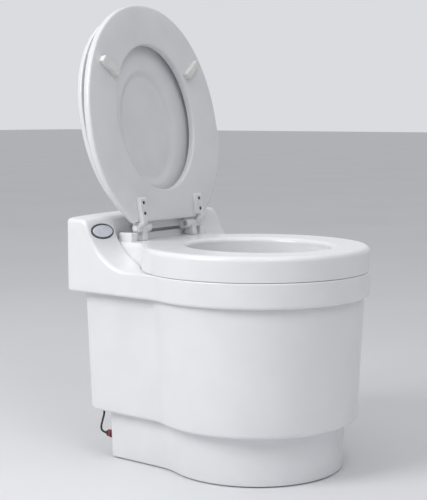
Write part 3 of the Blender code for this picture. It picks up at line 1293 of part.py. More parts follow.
def make_carrier_and_cartridge():
    """The carrier ring that hangs in the collar, and the film cartridge that stands in it."""
    inner = CARRIER_OUT - CARRIER_WALL
    flange = COLLAR_HOLE_RADIUS + CARRIER_FLANGE_OUT
    profile = [(flange, CARRIER_FLANGE_TOP), (flange, CARRIER_FLANGE_BOTTOM),
               (CARRIER_OUT, CARRIER_FLANGE_BOTTOM), (CARRIER_OUT, SHELF_BOTTOM), (SHELF_RADIUS, SHELF_BOTTOM),
               (SHELF_RADIUS, SHELF_TOP), (inner, SHELF_TOP), (inner, CARRIER_FLANGE_TOP)]
    turned("carrier_ring", profile, GREY_PLASTIC, ring=True)
    floor = CARTRIDGE_BOTTOM + CARTRIDGE_WALL
    outer_in = CARTRIDGE_OUT - CARTRIDGE_WALL
    core_out = CARTRIDGE_IN_RADIUS + CARTRIDGE_WALL
    profile = [(CARTRIDGE_OUT, CARTRIDGE_TOP), (CARTRIDGE_OUT, CARTRIDGE_BOTTOM),
               (core_out + GAP, CARTRIDGE_BOTTOM), (core_out + GAP, floor), (outer_in, floor),
               (outer_in, CARTRIDGE_TOP)]
    turned("cartridge_body", profile, GREY_PLASTIC, ring=True)
    lip_low = floor + GAP
    lip_high = lip_low + CORE_LIP_THICK
    profile = [(core_out, CARTRIDGE_TOP), (core_out, lip_high), (core_out + CORE_LIP, lip_high),
               (core_out + CORE_LIP, lip_low), (core_out, lip_low), (core_out, CARTRIDGE_BOTTOM),
               (CARTRIDGE_IN_RADIUS, CARTRIDGE_BOTTOM), (CARTRIDGE_IN_RADIUS, CARTRIDGE_TOP)]
    turned("cartridge_core", profile, GREY_PLASTIC, ring=True)
    pack_bottom = lip_high + GAP
    profile = [(outer_in - PACK_PLAY, pack_bottom + PACK_HEIGHT), (outer_in - PACK_PLAY, pack_bottom),
               (core_out + PACK_PLAY, pack_bottom), (core_out + PACK_PLAY, pack_bottom + PACK_HEIGHT)]
    turned("film_pack", profile, FILM_SILVER, ring=True)
    mouth = CARTRIDGE_IN_RADIUS + LINER_MOUTH_PLAY
    profile = [(CARTRIDGE_OUT - CAP_LAP, CAP_TOP), (CARTRIDGE_OUT, CAP_TOP - CAP_LAP),
               (CARTRIDGE_OUT, CAP_BOTTOM), (mouth, CAP_BOTTOM), (mouth, CAP_TOP - CAP_LAP),
               (mouth + CAP_LAP, CAP_TOP)]
    cap = turned("cartridge_cap", profile, GREY_PLASTIC, ring=True)
    for side in (-1, 1):
        middle = side * (mouth + GASKET_WIDTH + CARTRIDGE_OUT) / 2
        height = CAP_TOP + TAB_RISE / 2 - CAP_LAP
        tab = block_mesh((TAB_WIDTH, TAB_DEPTH, TAB_RISE), (0.0, middle, height), CAP_LAP / 2, 1)
        fuse(cap, put(f"lift_tab_{side}", tab, GREY_PLASTIC))
    outer_mouth = CARTRIDGE_IN_RADIUS - LINER_MOUTH_PLAY
    belly = DRUM_RADIUS - DRUM_WALL - LINER_BELLY_PLAY
    neck = SHELF_BOTTOM - LINER_NECK_DROP
    bottom = DRUM_FLOOR + DRUM_FLOOR_THICK + GAP
    wall = LINER_WALL
    drop = LINER_NECK_DROP
    lean = math.atan2(belly - outer_mouth, drop)
    shoulder = wall * math.tan(lean / 2)
    chamfer = wall * math.tan(HALF_TURN / 8)
    profile = [(0.0, bottom + wall), (belly - drop - chamfer, bottom + wall),
               (belly - wall, bottom + drop + chamfer), (belly - wall, neck - drop - shoulder),
               (outer_mouth - wall, neck - shoulder), (outer_mouth - wall, CAP_TOP), (outer_mouth, CAP_TOP),
               (outer_mouth, neck), (belly, neck - drop), (belly, bottom + drop), (belly - drop, bottom),
               (0.0, bottom)]
    turned("liner_film", profile, FILM_SILVER)


def make_drum():
    """The drum, its ring gear, bush and spindle."""
    inner = DRUM_RADIUS - DRUM_WALL
    bore = BUSH_RADIUS + GAP
    ceiling = DRUM_FLOOR - DRUM_FLOOR_THICK
    floor_top = DRUM_FLOOR + DRUM_FLOOR_THICK
    profile = [(0.0, floor_top), (inner, floor_top), (inner, DRUM_TOP), (DRUM_RADIUS, DRUM_TOP),
               (DRUM_RADIUS, DRUM_BOTTOM), (inner, DRUM_BOTTOM), (inner, DRUM_FLOOR),
               (HUB_RADIUS, DRUM_FLOOR), (HUB_RADIUS, HUB_BOTTOM), (bore, HUB_BOTTOM), (bore, ceiling),
               (0.0, ceiling)]
    turned("film_drum", profile, GREY_PLASTIC)
    bush_top = ceiling - GAP
    profile = [(BUSH_RADIUS, bush_top), (BUSH_RADIUS, HUB_BOTTOM), (SPINDLE_RADIUS + GAP, HUB_BOTTOM),
               (SPINDLE_RADIUS + GAP, bush_top)]
    turned("drum_bush", profile, BRASS, steps=MEDIUM_STEPS, ring=True)
    seat = TUB_FLOOR + GAP
    flange = seat + SPINDLE_FLANGE_THICK
    profile = [(0.0, bush_top), (SPINDLE_RADIUS - CAP_LAP, bush_top), (SPINDLE_RADIUS, bush_top - CAP_LAP),
               (SPINDLE_RADIUS, flange), (SPINDLE_FLANGE_RADIUS, flange), (SPINDLE_FLANGE_RADIUS, seat),
               (0.0, seat)]
    turned("drum_spindle", profile, STEEL, steps=MEDIUM_STEPS)
    ring = gear_outline(RING_TEETH, RING_PITCH, 2)
    toothed = ring_mesh([level(ring, GEAR_BOTTOM), level(ring, GEAR_TOP)], smooth=False)
    gear = put("ring_gear", toothed, ACETAL)
    bore = rod_mesh(DRUM_RADIUS + GAP, GEAR_THICK + OVERRUN * 2, (0.0, 0.0, GEAR_BOTTOM), "Z", WIDE_STEPS)
    cut(gear, put("ring_bore", bore, ACETAL))


def involute(base, radius):
    """Angle that an involute of a base circle has turned through at a radius."""
    if radius <= base:
        return 0.0
    pressure = math.acos(base / radius)
    return math.tan(pressure) - pressure


def gear_outline(teeth, pitch, flank_points, phase=0.0):
    """Outline of a spur gear with involute flanks; a tooth stands at the phase."""
    base = pitch * math.cos(PRESSURE_ANGLE)
    tip = pitch + GEAR_MODULE * ADDENDUM_SHARE
    root = pitch - GEAR_MODULE * DEDENDUM_SHARE
    half_tooth = (math.pi * GEAR_MODULE - BACKLASH) / 4 / pitch
    at_pitch = involute(base, pitch)
    radii = [root + (tip - root) * i / (flank_points - 1) for i in range(flank_points)]
    points = []
    for i in range(teeth):
        middle = phase + FULL_TURN * i / teeth
        rise = [(r, middle - half_tooth - at_pitch + involute(base, r)) for r in radii]
        fall = [(r, middle + half_tooth + at_pitch - involute(base, r)) for r in reversed(radii)]
        points += [(r * math.cos(a), r * math.sin(a)) for r, a in rise + fall]
    return points


def make_drive():
    """The pinion, geared motor and bracket beside the drum."""
    x, y = -PINION_ACROSS, PINION_BACK
    facing = math.atan2(y, x)
    tooth_angle = FULL_TURN / RING_TEETH
    slip = (facing / tooth_angle) % 1.0
    pinion_phase = facing + HALF_TURN + (0.5 + slip) * FULL_TURN / PINION_TEETH
    outline = gear_outline(PINION_TEETH, PINION_PITCH, 3, pinion_phase)
    gear = ring_mesh([level(outline, 0.0), level(outline, GEAR_THICK)], smooth=False)
    pinion = put("drive_pinion", gear, ACETAL, FRAME, (x, y, GEAR_BOTTOM))
    place = (x, y, GEAR_BOTTOM)
    hub_middle = GEAR_THICK + (PINION_HUB_HEIGHT - GAP) / 2
    hub = rod_mesh(PINION_HUB_RADIUS, PINION_HUB_HEIGHT + GAP, (0.0, 0.0, hub_middle), "Z", MEDIUM_STEPS)
    shaft_top = GEARBOX_BOTTOM + SHAFT_IN_BOX - GEAR_BOTTOM
    shaft = rod_mesh(PINION_SHAFT_RADIUS, shaft_top, (0.0, 0.0, shaft_top / 2))
    fuse(pinion, put("pinion_hub", hub, ACETAL, FRAME, place))
    fuse(pinion, put("pinion_shaft", shaft, ACETAL, FRAME, place))

    plate_middle = BRACKET_BOTTOM + BRACKET_THICK / 2
    disc = rod_mesh(BRACKET_RADIUS, BRACKET_THICK, (x, y, plate_middle), "Z", MEDIUM_STEPS)
    plate = put("motor_bracket", disc, STEEL)
    for turn in BRACKET_LEG_TURNS:
        angle = facing + turn * HALF_TURN
        reach = GEAR_MODULE * ADDENDUM_SHARE + PINION_PITCH + BRACKET_LEG_RADIUS + GEAR_MODULE / 2
        leg_x, leg_y = x + reach * math.cos(angle), y + reach * math.sin(angle)
        low = TUB_FLOOR + GAP
        high = BRACKET_BOTTOM + BRACKET_THICK
        leg = rod_mesh(BRACKET_LEG_RADIUS, high - low, (leg_x, leg_y, (high + low) / 2), "Z", TINY_STEPS)
        fuse(plate, put("bracket_leg", leg, STEEL))
        lug_reach = reach * LUG_SHARE
        lug = block_mesh((lug_reach, BRACKET_LEG_RADIUS * 2, BRACKET_THICK - GAP), (lug_reach, 0.0, 0.0))
        lug.transform(Matrix.Translation((x, y, plate_middle)) @ Matrix.Rotation(angle, 4, "Z"))
        fuse(plate, put("bracket_lug", lug, STEEL))
    hole = rod_mesh(BRACKET_HOLE_RADIUS, BRACKET_THICK + OVERRUN, (x, y, BRACKET_BOTTOM), "Z", MEDIUM_STEPS)
    cut(plate, put("bracket_hole", hole, STEEL))
    box_top = GEARBOX_BOTTOM + GEARBOX_HEIGHT
    bore = PINION_SHAFT_RADIUS + GAP
    bore_top = GEARBOX_BOTTOM + SHAFT_IN_BOX + GAP
    can_top = box_top + MOTOR_HEIGHT
    profile = [(0.0, can_top), (MOTOR_RADIUS - MOTOR_SHOULDER, can_top),
               (MOTOR_RADIUS, can_top - MOTOR_SHOULDER), (MOTOR_RADIUS, box_top),
               (GEARBOX_RADIUS - MOTOR_SHOULDER, box_top), (GEARBOX_RADIUS, box_top - MOTOR_SHOULDER),
               (GEARBOX_RADIUS, GEARBOX_BOTTOM), (bore, GEARBOX_BOTTOM), (bore, bore_top), (0.0, bore_top)]
    turned("gear_motor", profile, STEEL, FRAME, (x, y, 0.0), steps=MEDIUM_STEPS)


def make_blower():
    """The blower's housing, wheel, motor and outlet duct."""
    x, y = BLOWER_X, BLOWER_Y
    bottom, top = BLOWER_BOTTOM, BLOWER_BOTTOM + BLOWER_HEIGHT
    middle = (bottom + top) / 2
    drum = rod_mesh(BLOWER_RADIUS, BLOWER_HEIGHT, (x, y, middle), "Z", MEDIUM_STEPS)
    housing = put("blower_housing", drum, BLACK_PLASTIC)
    share = (middle - TUB_BOTTOM) / TUB_HEIGHT
    inner_wall = tub_rear(share) - TUB_WALL
    end = inner_wall - OUTLET_END_CLEARANCE
    out_x = x + BLOWER_RADIUS - OUTLET_WIDTH / 2
    outlet = block_mesh((OUTLET_WIDTH, end - y, BLOWER_HEIGHT), (out_x, (end + y) / 2, middle))
    fuse(housing, put("blower_outlet", outlet, BLACK_PLASTIC))
    low = TUB_FLOOR + GAP
    for turn in BLOWER_LEG_TURNS:
        leg_x = x + BLOWER_LEG_CIRCLE * math.cos(HALF_TURN * turn)
        leg_y = y + BLOWER_LEG_CIRCLE * math.sin(HALF_TURN * turn)
        high = bottom + BLOWER_WALL
        leg = rod_mesh(BLOWER_LEG_RADIUS, high - low, (leg_x, leg_y, (high + low) / 2), "Z", TINY_STEPS)
        fuse(housing, put("blower_leg", leg, BLACK_PLASTIC))
    wall_cut = BLOWER_WALL * 2
    hollow = BLOWER_HEIGHT - wall_cut
    inside = rod_mesh(BLOWER_RADIUS - BLOWER_WALL, hollow, (x, y, middle), "Z", MEDIUM_STEPS)
    cut(housing, put("blower_inside", inside, BLACK_PLASTIC))
    passage = block_mesh((OUTLET_WIDTH - wall_cut, end - y + OVERRUN, BLOWER_HEIGHT - wall_cut),
                         (out_x, (end + y + OVERRUN) / 2, middle))
    cut(housing, put("outlet_passage", passage, BLACK_PLASTIC))
    eye = rod_mesh(BLOWER_EYE_RADIUS, OVERRUN * 2, (x, y, top), "Z", MEDIUM_STEPS)
    shaft_hole = rod_mesh(BLOWER_SHAFT_RADIUS + GAP + GAP, OVERRUN * 2, (x, y, bottom))
    cut(housing, put("blower_eye", eye, BLACK_PLASTIC), put("blower_shaft_hole", shaft_hole, BLACK_PLASTIC))

    wheel_bottom = bottom + BLOWER_WALL + IMPELLER_CLEARANCE
    disc = rod_mesh(IMPELLER_RADIUS, IMPELLER_DISC, (0.0, 0.0, IMPELLER_DISC / 2), "Z", WIDE_STEPS)
    wheel = put("blower_wheel", disc, GREY_PLASTIC, FRAME, (x, y, wheel_bottom))
    blades = put("wheel_blades", merged_mesh(blade_meshes()), GREY_PLASTIC, FRAME, (x, y, wheel_bottom))
    motor_top = bottom - GAP
    shaft_low = motor_top - SHAFT_IN_BOX - wheel_bottom
    shaft_middle = (shaft_low + IMPELLER_DISC) / 2
    shaft = rod_mesh(BLOWER_SHAFT_RADIUS, IMPELLER_DISC - shaft_low, (0.0, 0.0, shaft_middle))
    hub_height = IMPELLER_HEIGHT * IMPELLER_HUB_SHARE
    hub = rod_mesh(IMPELLER_HUB_RADIUS, hub_height, (0.0, 0.0, hub_height / 2))
    fuse(wheel, blades, put("wheel_hub", hub, GREY_PLASTIC, FRAME, (x, y, wheel_bottom)),
         put("wheel_shaft", shaft, GREY_PLASTIC, FRAME, (x, y, wheel_bottom)))

    bore = BLOWER_SHAFT_RADIUS + GAP
    bore_low = motor_top - SHAFT_IN_BOX - GAP
    low = motor_top - BLOWER_MOTOR_HEIGHT
    profile = [(0.0, bore_low), (bore, bore_low), (bore, motor_top), (BLOWER_MOTOR_RADIUS, motor_top),
               (BLOWER_MOTOR_RADIUS, low + MOTOR_SHOULDER), (BLOWER_MOTOR_RADIUS - MOTOR_SHOULDER, low),
               (0.0, low)]
    turned("blower_motor", profile, STEEL, FRAME, (x, y, 0.0), steps=MEDIUM_STEPS)
    return (out_x, end, middle)


def blade_meshes():
    """Swept blades that stand on the blower wheel's disc."""
    step = FULL_TURN / IMPELLER_BLADES
    low, high = IMPELLER_DISC / 2, IMPELLER_HEIGHT
    tip = IMPELLER_RADIUS - IMPELLER_DISC / 2
    meshes = []
    for i in range(IMPELLER_BLADES):
        near = i * step
        far = near + step * BLADE_SWEEP_SHARE
        width = step * BLADE_WIDTH_SHARE
        spots = ((IMPELLER_EYE, near), (tip, far), (tip, far + width), (IMPELLER_EYE, near + width))
        outline = [(radius * math.cos(angle), radius * math.sin(angle)) for radius, angle in spots]
        meshes.append(ring_mesh([level(outline, low), level(outline, high)], smooth=False))
    return meshes


def make_duct(wall, outlet):
    """The rubber duct from the blower's outlet to the vent slots in the tub's rear wall."""
    out_x, start, middle = outlet
    inner_face = tub_rear((middle - TUB_BOTTOM) / TUB_HEIGHT) - TUB_WALL / math.cos(wall.rotation_euler.x)
    end = inner_face - GAP * 2
    mouth_x = OUTLET_WIDTH / 2
    mouth_z = BLOWER_HEIGHT / 2
    bell_x = VENT_HALF + DUCT_WALL
    bell_z = VENT_PITCH * VENT_COUNT / 2 + DUCT_WALL

    def frame_at(half_x, half_z, centre_x, y):
        return [(centre_x - half_x, y, middle - half_z), (centre_x + half_x, y, middle - half_z),
                (centre_x + half_x, y, middle + half_z), (centre_x - half_x, y, middle + half_z)]

    begin = start + GAP
    lip = end - DUCT_WALL
    outer = [frame_at(mouth_x, mouth_z, out_x, begin), frame_at(bell_x, bell_z, VENT_X, lip),
             frame_at(bell_x + DUCT_FLANGE / 2, bell_z + DUCT_FLANGE / 2, VENT_X, lip),
             frame_at(bell_x + DUCT_FLANGE / 2, bell_z + DUCT_FLANGE / 2, VENT_X, end)]
    inner = [frame_at(bell_x - DUCT_WALL, bell_z - DUCT_WALL, VENT_X, end),
             frame_at(mouth_x - DUCT_WALL, mouth_z - DUCT_WALL, out_x, begin)]
    put("outlet_duct", ring_mesh(outer + inner, endless=True, smooth=False), BLACK_RUBBER)


def make_power():
    """The gland under the tub, the socket in the base, the plug with its ring, and the lead."""
    x, y, z = gland_place(TUB_BOTTOM)
    neck_top = TUB_FLOOR + GAP + CAP_THICK
    bore = LEAD_RADIUS + GAP
    shank = GLAND_RADIUS - CAP_LAP - GAP - GAP
    nose = TUB_BOTTOM - GLAND_LENGTH
    profile = [(GLAND_RADIUS, neck_top), (GLAND_RADIUS, TUB_FLOOR + GAP), (shank, TUB_FLOOR + GAP),
               (shank, TUB_BOTTOM), (GLAND_NECK_RADIUS, nose), (bore, nose), (bore, neck_top)]
    turned("lead_gland", profile, BLACK_RUBBER, FRAME, (x, y, 0.0), steps=SMALL_STEPS, ring=True)

    rear = base_rear() - BASE_DRAFT * (1.0 - (SOCKET_Z - BASE_BOTTOM) / BASE_HEIGHT)
    socket_back = rear - SOCKET_DEPTH
    face = rear + GAP * 2
    flange_out = face + SOCKET_FLANGE_THICK
    place, turn = (-SOCKET_X, 0.0, SOCKET_Z), (-HALF_TURN / 2, 0.0, 0.0)
    bore_end = flange_out - PLUG_NOSE_LENGTH - CAP_LAP
    profile = [(0.0, bore_end), (SOCKET_BORE, bore_end), (SOCKET_BORE, flange_out),
               (SOCKET_FLANGE, flange_out), (SOCKET_FLANGE, face), (SOCKET_RADIUS, face),
               (SOCKET_RADIUS, socket_back), (0.0, socket_back)]
    turned("power_socket", profile, BLACK_PLASTIC, FRAME, place, turn, SMALL_STEPS)

    body = flange_out + GAP
    ring_low = body + (PLUG_LENGTH - RING_LENGTH) / 2
    groove = PLUG_RADIUS - RING_PROUD
    plug_back = body + PLUG_LENGTH
    tail = plug_back + PLUG_TAIL_LENGTH
    groove_end = ring_low + RING_LENGTH + GAP
    plug_nose = body + CAP_LAP - PLUG_NOSE_LENGTH
    profile = [(0.0, tail), (PLUG_TAIL_RADIUS - CAP_LAP, tail), (PLUG_TAIL_RADIUS, plug_back),
               (PLUG_RADIUS, plug_back - CAP_LAP), (PLUG_RADIUS, groove_end), (groove, groove_end),
               (groove, ring_low - GAP), (PLUG_RADIUS, ring_low - GAP), (PLUG_RADIUS, body),
               (PLUG_NOSE_RADIUS, body), (PLUG_NOSE_RADIUS, plug_nose), (0.0, plug_nose)]
    turned("power_plug", profile, BLACK_PLASTIC, FRAME, place, turn, SMALL_STEPS)
    profile = [(PLUG_RADIUS + RING_PROUD, ring_low + RING_LENGTH), (PLUG_RADIUS + RING_PROUD, ring_low),
               (groove + GAP, ring_low), (groove + GAP, ring_low + RING_LENGTH)]
    turned("plug_ring", profile, RED_RING, FRAME, place, turn, SMALL_STEPS, ring=True)

    knots = [(x, y, z - GAP)]
    knots += [(x + across, y + back, z - down) for across, back, down in LEAD_ROUTE]
    knots += [(-SOCKET_X, tail + GAP + LEAD_RADIUS * 2, SOCKET_Z), (-SOCKET_X, tail + GAP, SOCKET_Z)]
    tube("power_lead", smooth_route(knots, LEAD_STEPS), LEAD_RADIUS, BLACK_RUBBER)


def make_wires(wall, button_frame):
    """The wires inside: from the board to the switch, the two motors and the gland."""
    face = -TUB_WALL - GAP - BOARD_STAND - BOARD_THICK - CHIP_SIZE[1]
    bpy.context.view_layer.update()
    board = wall.matrix_world
    left = BOARD_X - BOARD_WIDTH / 2 + BOARD_STAND_RADIUS * 4
    high = BOARD_BOTTOM + BOARD_HEIGHT - WIRE_RADIUS * 3
    tops = [board @ Vector((left + i * WIRE_RADIUS * 4, face, high)) for i in range(2)]
    back = -BEZEL_DEPTH - SWITCH_SIZE[2] - GAP * 3
    switch, square, behind = [button_frame.matrix_world @ Vector((0.0, 0.0, back - WIRE_RADIUS * reach))
                              for reach in (0, 3, 6)]
    start = tops[0]
    bend = WIRE_RADIUS * 6
    riser = Vector((-BUTTON_X, tub_rear(1.0) - TUB_WALL - bend, COLLAR_BOTTOM))
    knots = [start, start + Vector((0.0, -bend, bend)), riser, Vector((riser.x, riser.y, COLLAR_TOP)),
             behind, square, switch]
    tube("switch_wire", smooth_route(knots, WIRE_STEPS), WIRE_RADIUS, BLACK_RUBBER)
    motor = Vector((-PINION_ACROSS, PINION_BACK, GEARBOX_BOTTOM + GEARBOX_HEIGHT + MOTOR_HEIGHT + GAP))
    start = tops[1]
    knots = [start, start + Vector((0.0, -bend, -bend)), motor + Vector((bend, bend, bend * 2)),
             motor + Vector((0.0, 0.0, bend)), motor]
    tube("motor_wire", smooth_route(knots, WIRE_STEPS), WIRE_RADIUS, BLACK_RUBBER)


def stand_on_origin():
    """Move the whole so that the origin is the middle of its footprint's box, on the floor."""
    bpy.context.view_layer.update()
    graph = bpy.context.evaluated_depsgraph_get()
    low, high = Vector((math.inf,) * 3), Vector((-math.inf,) * 3)
    for thing in PARTS.objects:
        if thing.type == "EMPTY":
            continue
        solid = thing.evaluated_get(graph)
        mesh = solid.to_mesh()
        for vertex in mesh.vertices:
            spot = thing.matrix_world @ vertex.co
            low = Vector(map(min, low, spot))
            high = Vector(map(max, high, spot))
        solid.to_mesh_clear()
    FRAME.location = (-(low.x + high.x) / 2, -(low.y + high.y) / 2, -low.z)


def main():
    """Build the toilet from the floor up."""
    make_base()
    make_battery()
    wall = make_tub()
    make_rear_wall(wall)
    collar = make_collar()
    button_frame = make_button(collar)
    make_cover()
    make_hinges()
    make_seat()
    make_lid()
    make_carrier_and_cartridge()
    make_drum()
    make_drive()
    outlet = make_blower()
    make_duct(wall, outlet)
    make_power()
    make_wires(wall, button_frame)
    stand_on_origin()


main()
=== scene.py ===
"""Looks of a dry flush toilet with its seat and lid raised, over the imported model.

Sizes are millimetres from the bowl's axis, unless a comment says metres: x runs across, y to the rear and
z up from the floor. Each piece is worked out on grids of points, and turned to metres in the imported
model's place when it is made.
"""
import json
import logging
import math
from dataclasses import dataclass, field
from enum import Enum

import bmesh
import bpy
import numpy as np
from mathutils import Matrix, Vector


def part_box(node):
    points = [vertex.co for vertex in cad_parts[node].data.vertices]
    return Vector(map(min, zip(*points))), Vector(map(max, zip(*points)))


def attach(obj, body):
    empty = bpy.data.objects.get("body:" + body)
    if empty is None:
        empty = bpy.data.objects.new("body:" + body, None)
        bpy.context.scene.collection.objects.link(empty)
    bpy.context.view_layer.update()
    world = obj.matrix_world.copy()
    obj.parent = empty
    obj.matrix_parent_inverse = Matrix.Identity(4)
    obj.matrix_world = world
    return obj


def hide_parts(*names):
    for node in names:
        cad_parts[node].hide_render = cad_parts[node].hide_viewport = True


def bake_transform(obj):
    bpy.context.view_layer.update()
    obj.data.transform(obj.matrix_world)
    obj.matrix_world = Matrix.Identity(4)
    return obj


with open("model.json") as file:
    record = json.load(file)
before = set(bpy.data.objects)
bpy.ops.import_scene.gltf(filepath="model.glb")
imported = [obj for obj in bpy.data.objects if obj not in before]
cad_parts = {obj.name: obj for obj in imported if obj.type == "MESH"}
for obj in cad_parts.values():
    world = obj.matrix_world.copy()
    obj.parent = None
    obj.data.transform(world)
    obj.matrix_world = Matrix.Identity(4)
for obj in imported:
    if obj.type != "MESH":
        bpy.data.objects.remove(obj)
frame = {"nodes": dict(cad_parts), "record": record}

LOG = logging.getLogger("dry_flush_toilet")
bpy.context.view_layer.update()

Array = np.ndarray
Object = bpy.types.Object
Node = bpy.types.Node
Socket = bpy.types.NodeSocket
Tree = bpy.types.NodeTree
Triple = tuple[float, float, float]

MM = 0.001
QUARTER = math.pi / 2
ROUND = 2 * math.pi
# Gap between pieces that touch on the real toilet
PLAY = 0.3
# Points this close, in metres, are one
MERGE = 1e-6
# Radius of a bore for a hinge pin or bolt, and how far a cutter reaches each way
BORE = 4.3
THROUGH = 20.0
# An edge sharper than this is rounded where a piece asks for it
EDGE_ANGLE = math.radians(35)
SIDES = ((-1, "left"), (1, "right"))
ORIGIN = (0.0, 0.0, 0.0)
ACROSS = np.array([1.0, 0.0, 0.0])
REARWARD = np.array([0.0, 1.0, 0.0])
UPWARD = np.array([0.0, 0.0, 1.0])
DOWNWARD = np.array([0.0, 0.0, -1.0])
DRUM_LOW, DRUM_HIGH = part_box("film_drum")
BOWL_PLACE = np.array([(DRUM_LOW.x + DRUM_HIGH.x) / 2, (DRUM_LOW.y + DRUM_HIGH.y) / 2, 0.0]) / MM


# Lines and outlines

def arc(centre: tuple[float, float], radius: float, start: float, end: float, count: int) -> Array:
    """Arc: centre + radius (cos a, sin a), with a running evenly from start to end in radians.

    Args:
        centre: Middle of the circle.
        radius: Its radius.
        start: First angle.
        end: Last angle.
        count: Number of points.

    Returns:
        Points, (count, 2).
    """
    turn = np.linspace(start, end, count)
    return np.stack([centre[0] + radius * np.cos(turn), centre[1] + radius * np.sin(turn)], axis=1)


def smooth_line(knots: Array, steps: int) -> Array:
    """Catmull-Rom curve: between two knots, the cubic whose end slopes are half the chords beside them.

    Args:
        knots: Points to pass through, (n, d).
        steps: Points per stretch.

    Returns:
        Points, ((n - 1) * steps + 1, d).
    """
    padded = np.concatenate([[2 * knots[0] - knots[1]], knots, [2 * knots[-1] - knots[-2]]])
    t = np.linspace(0, 1, steps, endpoint=False)[None, :, None]
    a, b, c, d = (padded[i:len(padded) - 3 + i, None, :] for i in range(4))
    curve = 0.5 * (2 * b + (c - a) * t + (2 * a - 5 * b + 4 * c - d) * t**2 + (3 * b - a - 3 * c + d) * t**3)
    return np.concatenate([curve.reshape(-1, knots.shape[1]), knots[-1:]])


def mirrored(right: Array) -> Array:
    """Close a right half, whose ends lie on x = 0, with its mirror image in a loop."""
    return np.concatenate([right, right[-2:0:-1] * np.array([-1.0, 1.0])])


def level(outline: Array, z: float | Array) -> Array:
    """Lift a flat outline (n, 2) to a height, one for all or one for each point."""
    return np.concatenate([outline, np.broadcast_to(z, len(outline))[:, None]], axis=1)


def drawn_in(loop: Array, inset: float | Array) -> Array:
    """Move a loop's points inwards along their normals: the chord of both neighbours, turned a quarter.

    Args:
        loop: Closed outline, (n, 2).
        inset: How far, one for all or one for each point.

    Returns:
        The moved points, (n, 2).
    """
    along = np.roll(loop, -1, axis=0) - np.roll(loop, 1, axis=0)
    inward = np.stack([-along[:, 1], along[:, 0]], axis=1) / np.linalg.norm(along, axis=1)[:, None]
    return loop + inward * np.broadcast_to(inset, len(loop))[:, None]


def quarter_round(radius: float, count: int) -> Array:
    """Quarter round as inset radius (1 - cos a) against rise radius sin a, a from 0 to 90 degrees."""
    turn = np.linspace(0, QUARTER, count)
    return radius * np.stack([1 - np.cos(turn), np.sin(turn)], axis=1)


@dataclass(frozen=True)
class Keyhole:
    """Outline of a casing: round front, a hollow curve at each side, then a box with rounded corners."""

    radius: float
    half: float
    rear: float
    corner: float
    fillet: float
    front_steps: int = 56
    hollow_steps: int = 16
    side_steps: int = 12
    corner_steps: int = 9
    rear_steps: int = 14

    def inside(self, inset: float) -> "Keyhole":
        """The same outline, drawn in everywhere."""
        return Keyhole(self.radius - inset, self.half - inset, self.rear - inset,
                       max(self.corner - inset, PLAY), self.fillet + inset)

    def toward(self, other: "Keyhole", share: float) -> "Keyhole":
        """The outline a share of the way to another one."""
        mix = [a + (b - a) * share for a, b in zip(self.sizes(), other.sizes())]
        return Keyhole(*mix)

    def sizes(self) -> tuple[float, float, float, float, float]:
        """Its five sizes."""
        return self.radius, self.half, self.rear, self.corner, self.fillet

    def hollow(self) -> tuple[float, float, float]:
        """Centre of the hollow curve, and the angle at which the round front touches it.

        Returns:
            Its x and y, and the angle in radians.
        """
        across = self.half + self.fillet
        behind = math.sqrt((self.radius + self.fillet) ** 2 - across ** 2)
        return across, behind, math.atan2(behind, across)

    def right(self) -> list[Array]:
        """Right half as its stretches: front, hollow, side, corner and rear.

        Returns:
            Five stretches of points, (n, 2) each.
        """
        across, behind, touch = self.hollow()
        side = np.linspace(behind, self.rear - self.corner, self.side_steps)
        back = np.linspace(self.half - self.corner, 0, self.rear_steps)
        return [arc((0, 0), self.radius, -QUARTER, touch, self.front_steps),
                arc((across, behind), self.fillet, touch + math.pi, math.pi, self.hollow_steps)[1:],
                np.stack([np.full_like(side, self.half), side], axis=1)[1:],
                arc((self.half - self.corner, self.rear - self.corner), self.corner, 0, QUARTER,
                    self.corner_steps)[1:],
                np.stack([back, np.full_like(back, self.rear)], axis=1)[1:]]

    def loop(self) -> Array:
        """The closed outline, (n, 2)."""
        return mirrored(np.concatenate(self.right()))

    def side_at(self, y: Array) -> Array:
        """Half width on the right: the round front, then the hollow curve, the side and the corner.

        Args:
            y: Where to measure.

        Returns:
            The half width at each y.
        """
        across, behind, touch = self.hollow()
        round_x = np.sqrt(np.clip(self.radius ** 2 - y ** 2, 0, None))
        hollow_x = across - np.sqrt(np.clip(self.fillet ** 2 - (y - behind) ** 2, 0, None))
        into_corner = np.clip(y - (self.rear - self.corner), 0, self.corner)
        side_x = self.half - self.corner + np.sqrt(self.corner ** 2 - into_corner ** 2)
        touch_y = self.radius * math.sin(touch)
        return np.where(y < touch_y, round_x, np.where(y < behind, hollow_x, side_x))


